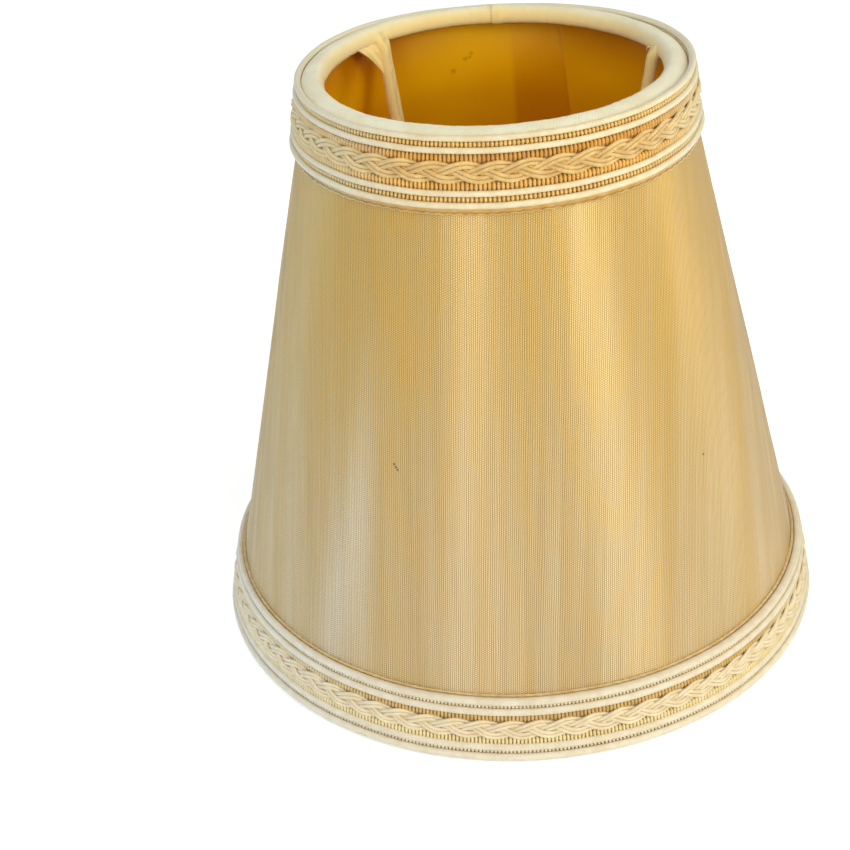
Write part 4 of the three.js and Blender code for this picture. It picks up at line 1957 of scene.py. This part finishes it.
    def build_ring(self) -> bpy.types.Object:
        """Builds the stamped ring with its rounded edges.

        Returns:
            The finished piece.
        """
        work = Workpiece("fitter_washer")
        low, high = self.height, self.height + self.thickness
        inner, outer = self.bore / 2.0, self.diameter / 2.0
        corners = [(inner, low), (outer, low), (outer, high), (inner, high)]
        work.spin(work.outline(corners, closed=True), self.ring_steps)
        work.weld()
        work.face_outwards()
        rims = [edge for edge in work.bm.edges if edge.calc_face_angle(0.0) > self.sharp_angle]
        bmesh.ops.bevel(
            work.bm,
            geom=rims,
            offset=self.ring_bevel,
            offset_type="OFFSET",
            affect="EDGES",
            segments=self.bevel_steps,
            profile=0.5,
            material=-1,
        )
        return work.complete(self.finishes.steel, ["fitter_ring"])

    def tube(self, work: Workpiece, route: Sequence[Vector], radii: Sequence[float], sides: int) -> None:
        """Extrudes a round section along a route in the plane of azimuth 0.

        Args:
            work: The mesh to make it in.
            route: Points of the centre line.
            radii: The section's radius at each point.
            sides: Corners of the section.
        """
        ring: Geometry = []
        last = Matrix()
        for k, (point, radius) in enumerate(zip(route, radii)):
            ahead = route[min(k + 1, len(route) - 1)] - route[max(k - 1, 0)]
            turn = ahead.to_track_quat("Z", "Y").to_matrix().to_4x4()
            here = Matrix.Translation(point) @ turn @ Matrix.Diagonal((radius, radius, 1.0, 1.0))
            if k == 0:
                made = bmesh.ops.create_circle(
                    work.bm, cap_ends=True, segments=sides, radius=1.0, matrix=here
                )
                ring = [edge for edge in work.bm.edges if edge.verts[0] in made["verts"]]
            else:
                made = bmesh.ops.extrude_edge_only(work.bm, edges=ring)
                verts = [item for item in made["geom"] if isinstance(item, bmesh.types.BMVert)]
                ring = [item for item in made["geom"] if isinstance(item, bmesh.types.BMEdge)]
                ring = [edge for edge in ring if all(vert in verts for vert in edge.verts)]
                bmesh.ops.transform(work.bm, verts=verts, matrix=here @ last.inverted())
            last = here
        bmesh.ops.edgenet_fill(work.bm, edges=ring)

    def build_arm(self, number: int) -> bpy.types.Object:
        """Builds one bent wire arm with its weld on the ring.

        Args:
            number: The arm, counted from 1.

        Returns:
            The finished piece.
        """
        work = Workpiece(f"wire_arm_{number}")
        self.tube(work, self.route, [self.wire_radius] * len(self.route), self.wire_sides)
        foot = self.route[0].lerp(self.route[1], self.weld_place)
        sink = Vector((0.0, 0.0, -self.wire_radius - self.weld_sink))
        weld = Matrix.Translation(foot + sink) @ Matrix.Diagonal((*self.weld_bead, 1.0))
        bmesh.ops.create_uvsphere(
            work.bm,
            u_segments=self.wire_sides,
            v_segments=self.wire_sides // 2,
            radius=1.0,
            matrix=weld,
        )
        work.turn(self.azimuth(number))
        work.face_outwards()
        return work.complete(self.finishes.steel, [f"fitter_arm_{number}"])

    def build_sleeve(self, number: int) -> bpy.types.Object:
        """Builds the cloth sleeve of one arm, gathered under the rim.

        Args:
            number: The arm, counted from 1.

        Returns:
            The finished piece.
        """
        work = Workpiece(f"arm_sleeve_cloth_{number}")
        shares = np.concatenate([np.linspace(*span) for span in self.sleeve_spans])
        route = [self.bend_start.lerp(self.head, share) for share in shares.tolist()]
        drawn_in, foot_end = self.sleeve_foot
        waves = [(size, turns, shift * number) for size, turns, shift in self.sleeve_waves]
        swell = 1.0 + ripple(waves, shares)
        swell *= 1.0 - drawn_in * smoothstep(foot_end, 0.0, shares)
        above = np.linspace(*self.sleeve_cap)
        route += [self.head + self.axis * self.tuck_rise * share for share in above.tolist()]
        route = [self.tucked(point) for point in route]
        swell = np.append(swell, swell[-1] * (1.0 - self.sleeve_taper * above**2))
        radius = self.sleeve_radii[number - 1]
        self.tube(work, route, (radius * swell).tolist(), self.sleeve_sides)
        points = work.points()
        below = (np.array(self.head)[None, :] - points) @ np.array(self.axis)
        points[:, 1] *= 1.0 + self.flare * smoothstep(self.tuck_length, -self.tuck_rise, below)
        work.move(points)
        across = Vector((self.axis.z, 0.0, -self.axis.x))

        def measure(place: Vector) -> Span:
            """Measures round the sleeve and along it."""
            along = (place - self.bend_start).dot(self.axis)
            turn = math.atan2(place.y, (place - self.bend_start).dot(across))
            return turn * self.sleeve_radius, along

        work.chart(measure)
        work.turn(self.azimuth(number))
        work.face_outwards()
        return work.complete(self.finishes.cloth, [f"arm_sleeve_{number}"])

    def build_gusset(self) -> bpy.types.Object:
        """Builds the pleated web of cloth between a sleeve and the rim.

        Returns:
            The finished piece.
        """
        work = Workpiece("arm_gusset_cloth")
        bmesh.ops.create_grid(
            work.bm, x_segments=self.gusset_cells, y_segments=self.gusset_cells, size=0.5
        )
        grid = work.points() + 0.5
        from_corner, along = np.sqrt(grid[:, 0]), grid[:, 1]
        bow = along * (1.0 - along)
        edge_across = 2.0 * bow * self.gusset_hollow + along**2
        edge_down = (1.0 - along) ** 2 + 2.0 * bow * self.gusset_hollow
        across = self.gusset_width * edge_across * from_corner
        down = self.gusset_drop * edge_down * from_corner
        outwards, sideways = self.pleat_turns
        pleats = self.pleat_depth * np.sin(outwards * from_corner + sideways * along) * bow
        top = self.head + self.axis * self.gusset_rise
        spot = np.array(top)[None, :] - np.array(self.axis)[None, :] * down[:, None]
        tuck_start = self.tuck_length + self.gusset_rise
        tuck = self.tuck_reach * smoothstep(tuck_start, self.gusset_tuck_end, down)
        radius = spot[:, 0] - self.gusset_inset + pleats + self.gusset_tuck * tuck
        start = self.sleeve_radius * self.gusset_overlap
        azimuth = self.azimuth(self.gusset_arm) + (start + across) / radius
        work.move(from_polar(radius, azimuth, spot[:, 2]))
        work.weld()
        work.face_outwards()
        work.chart(lambda place: (place.x - place.y, place.z))
        work.thicken(self.gusset_thickness)
        return work.complete(self.finishes.cloth, ["arm_gusset"])

    def build_frayed_thread(self) -> bpy.types.Object:
        """Builds the frayed threads where the first arm's sleeve meets the rim.

        Returns:
            The finished piece.
        """
        work = Workpiece("frayed_thread")
        top = self.tucked(self.head) - Vector((self.fray_inset, 0.0, 0.0))
        outwards, aside = self.sleeve_radius, self.sleeve_radius * self.fray_reach
        for thread in self.fray:
            corners = [top + Vector((x * outwards, y * aside, z * MM)) for x, y, z in thread]
            route = []
            for share in np.linspace(0.0, 1.0, self.fray_points).tolist():
                line = corners
                while len(line) > 1:
                    line = [a.lerp(b, share) for a, b in zip(line, line[1:])]
                route.append(line[0])
            self.tube(work, route, [self.fray_radius] * len(route), self.fray_sides)
        work.turn(self.azimuth(self.fray_arm))
        work.face_outwards()
        return work.complete(self.finishes.cloth)

    def build(self) -> list[bpy.types.Object]:
        """Builds the fitter and the cloth on it.

        Returns:
            Its pieces.
        """
        pieces = [self.build_ring(), self.build_gusset(), self.build_frayed_thread()]
        for number in range(1, self.arm_count + 1):
            pieces += [self.build_arm(number), self.build_sleeve(number)]
        return pieces


@dataclass(frozen=True)
class SoftLight:
    """One area light that faces the shade."""

    name: str
    turn: float
    distance: float
    height: float
    width: float
    length: float
    power: float
    colour: Triple
    aim_height: float = 60.0 * MM

    def place(self) -> bpy.types.Object:
        """Places the light.

        Returns:
            The light's object.
        """
        data = bpy.data.lights.new(self.name, "AREA")
        data.shape = "RECTANGLE"
        data.size, data.size_y = self.width, self.length
        data.energy, data.color = self.power, self.colour
        angle = math.radians(self.turn - 90.0)
        light = bpy.data.objects.new(self.name, data)
        light.location = (
            self.distance * math.cos(angle),
            self.distance * math.sin(angle),
            self.height,
        )
        aim = Vector((0.0, 0.0, self.aim_height)) - light.location
        light.rotation_euler = aim.to_track_quat("-Z", "Y").to_euler()
        bpy.context.scene.collection.objects.link(light)
        return light


@dataclass
class Studio:
    """The pale floor, the soft lights and the camera at the photograph's angle."""

    finishes: Finishes
    eye: Triple = (0.0, -0.362653, 0.263692)
    yaw: float = -0.0556034
    pitch: float = 0.5457746
    roll: float = -0.0782435
    focal_pixels: float = 1797.068
    frame_pixels: float = 850.0
    sensor: float = 36.0
    clip: Span = (0.01, 20.0)
    floor_size: float = 6.0
    ambient: float = 0.36
    lights: tuple[SoftLight, ...] = (
        SoftLight("overhead_softbox", 0.0, 0.8, 1.5, 1.4, 1.4, 9.2, (0.98, 0.97, 0.94)),
        SoftLight("left_window", -112.0, 1.3, 0.45, 0.3, 1.0, 2.62, (0.36, 0.76, 1.0)),
        SoftLight("front_left_strip", -16.0, 1.4, 0.45, 0.4, 1.0, 4.3, (0.91, 0.97, 1.0)),
        SoftLight("front_right_strip", 44.0, 1.3, 0.45, 0.34, 1.0, 6.3, (0.95, 0.98, 0.84)),
        SoftLight("right_strip", 98.0, 1.3, 0.45, 0.4, 1.0, 4.5, (1.0, 0.94, 0.68)),
        SoftLight("left_low_card", -59.0, 0.158, 0.018, 0.024, 0.034, 0.022, (0.2, 0.48, 1.0)),
    )

    def place_camera(self) -> bpy.types.Object:
        """Places the camera.

        Returns:
            The camera.
        """
        level = math.cos(self.pitch)
        forward = Vector((math.sin(self.yaw) * level, math.cos(self.yaw) * level, -math.sin(self.pitch)))
        right = Vector((math.cos(self.yaw), -math.sin(self.yaw), 0.0))
        up = right.cross(forward)
        across = math.cos(self.roll) * right + math.sin(self.roll) * up
        upright = math.cos(self.roll) * up - math.sin(self.roll) * right
        data = bpy.data.cameras.new("camera")
        data.sensor_width = self.sensor
        data.lens = self.focal_pixels * self.sensor / self.frame_pixels
        data.clip_start, data.clip_end = self.clip
        camera = bpy.data.objects.new("camera", data)
        camera.matrix_world = (
            Matrix.Translation(self.eye) @ Matrix((across, upright, -forward)).transposed().to_4x4()
        )
        bpy.context.scene.collection.objects.link(camera)
        bpy.context.scene.camera = camera
        return camera

    def lay_floor(self) -> bpy.types.Object:
        """Lays the floor.

        Returns:
            The floor.
        """
        bm = bmesh.new()
        bmesh.ops.create_grid(bm, x_segments=2, y_segments=2, size=self.floor_size / 2.0)
        mesh = bpy.data.meshes.new("floor")
        bm.to_mesh(mesh)
        bm.free()
        floor = bpy.data.objects.new("floor", mesh)
        floor.data.materials.append(self.finishes.floor.material())
        bpy.context.scene.collection.objects.link(floor)
        return floor

    def light_room(self) -> None:
        """Sets the even light of the room and places the lamps."""
        world = bpy.data.worlds.new("studio")
        world.use_nodes = True
        background = world.node_tree.nodes["Background"]
        background.inputs["Color"].default_value = (1.0, 1.0, 1.0, 1.0)
        background.inputs["Strength"].default_value = self.ambient
        bpy.context.scene.world = world
        bpy.context.scene.view_settings.view_transform = "Standard"
        for light in self.lights:
            light.place()

    def build(self) -> None:
        """Builds the studio."""
        self.place_camera()
        self.lay_floor()
        self.light_room()


def main() -> None:
    """Builds the studio and the shade, piece by piece."""
    logging.basicConfig(level=logging.INFO, format="%(name)s %(message)s")
    wall = ConeWall()
    finishes = Finishes()
    Studio(finishes).build()
    AmberBacking(wall, finishes).build()
    SilkCover(wall, finishes).build()
    bindings = {rim: RimBinding(wall, finishes, rim) for rim in Rim}
    braids = {
        Rim.BOTTOM: GimpBraid(wall, finishes, Rim.BOTTOM, tape_edge=0.55 * MM, cord_width=1.7 * MM),
        Rim.TOP: GimpBraid(wall, finishes, Rim.TOP),
    }
    for rim in Rim:
        bindings[rim].build()
        braids[rim].build()
    FitterFrame(finishes, bindings[Rim.TOP]).build()


if __name__ == "__main__":
    main()
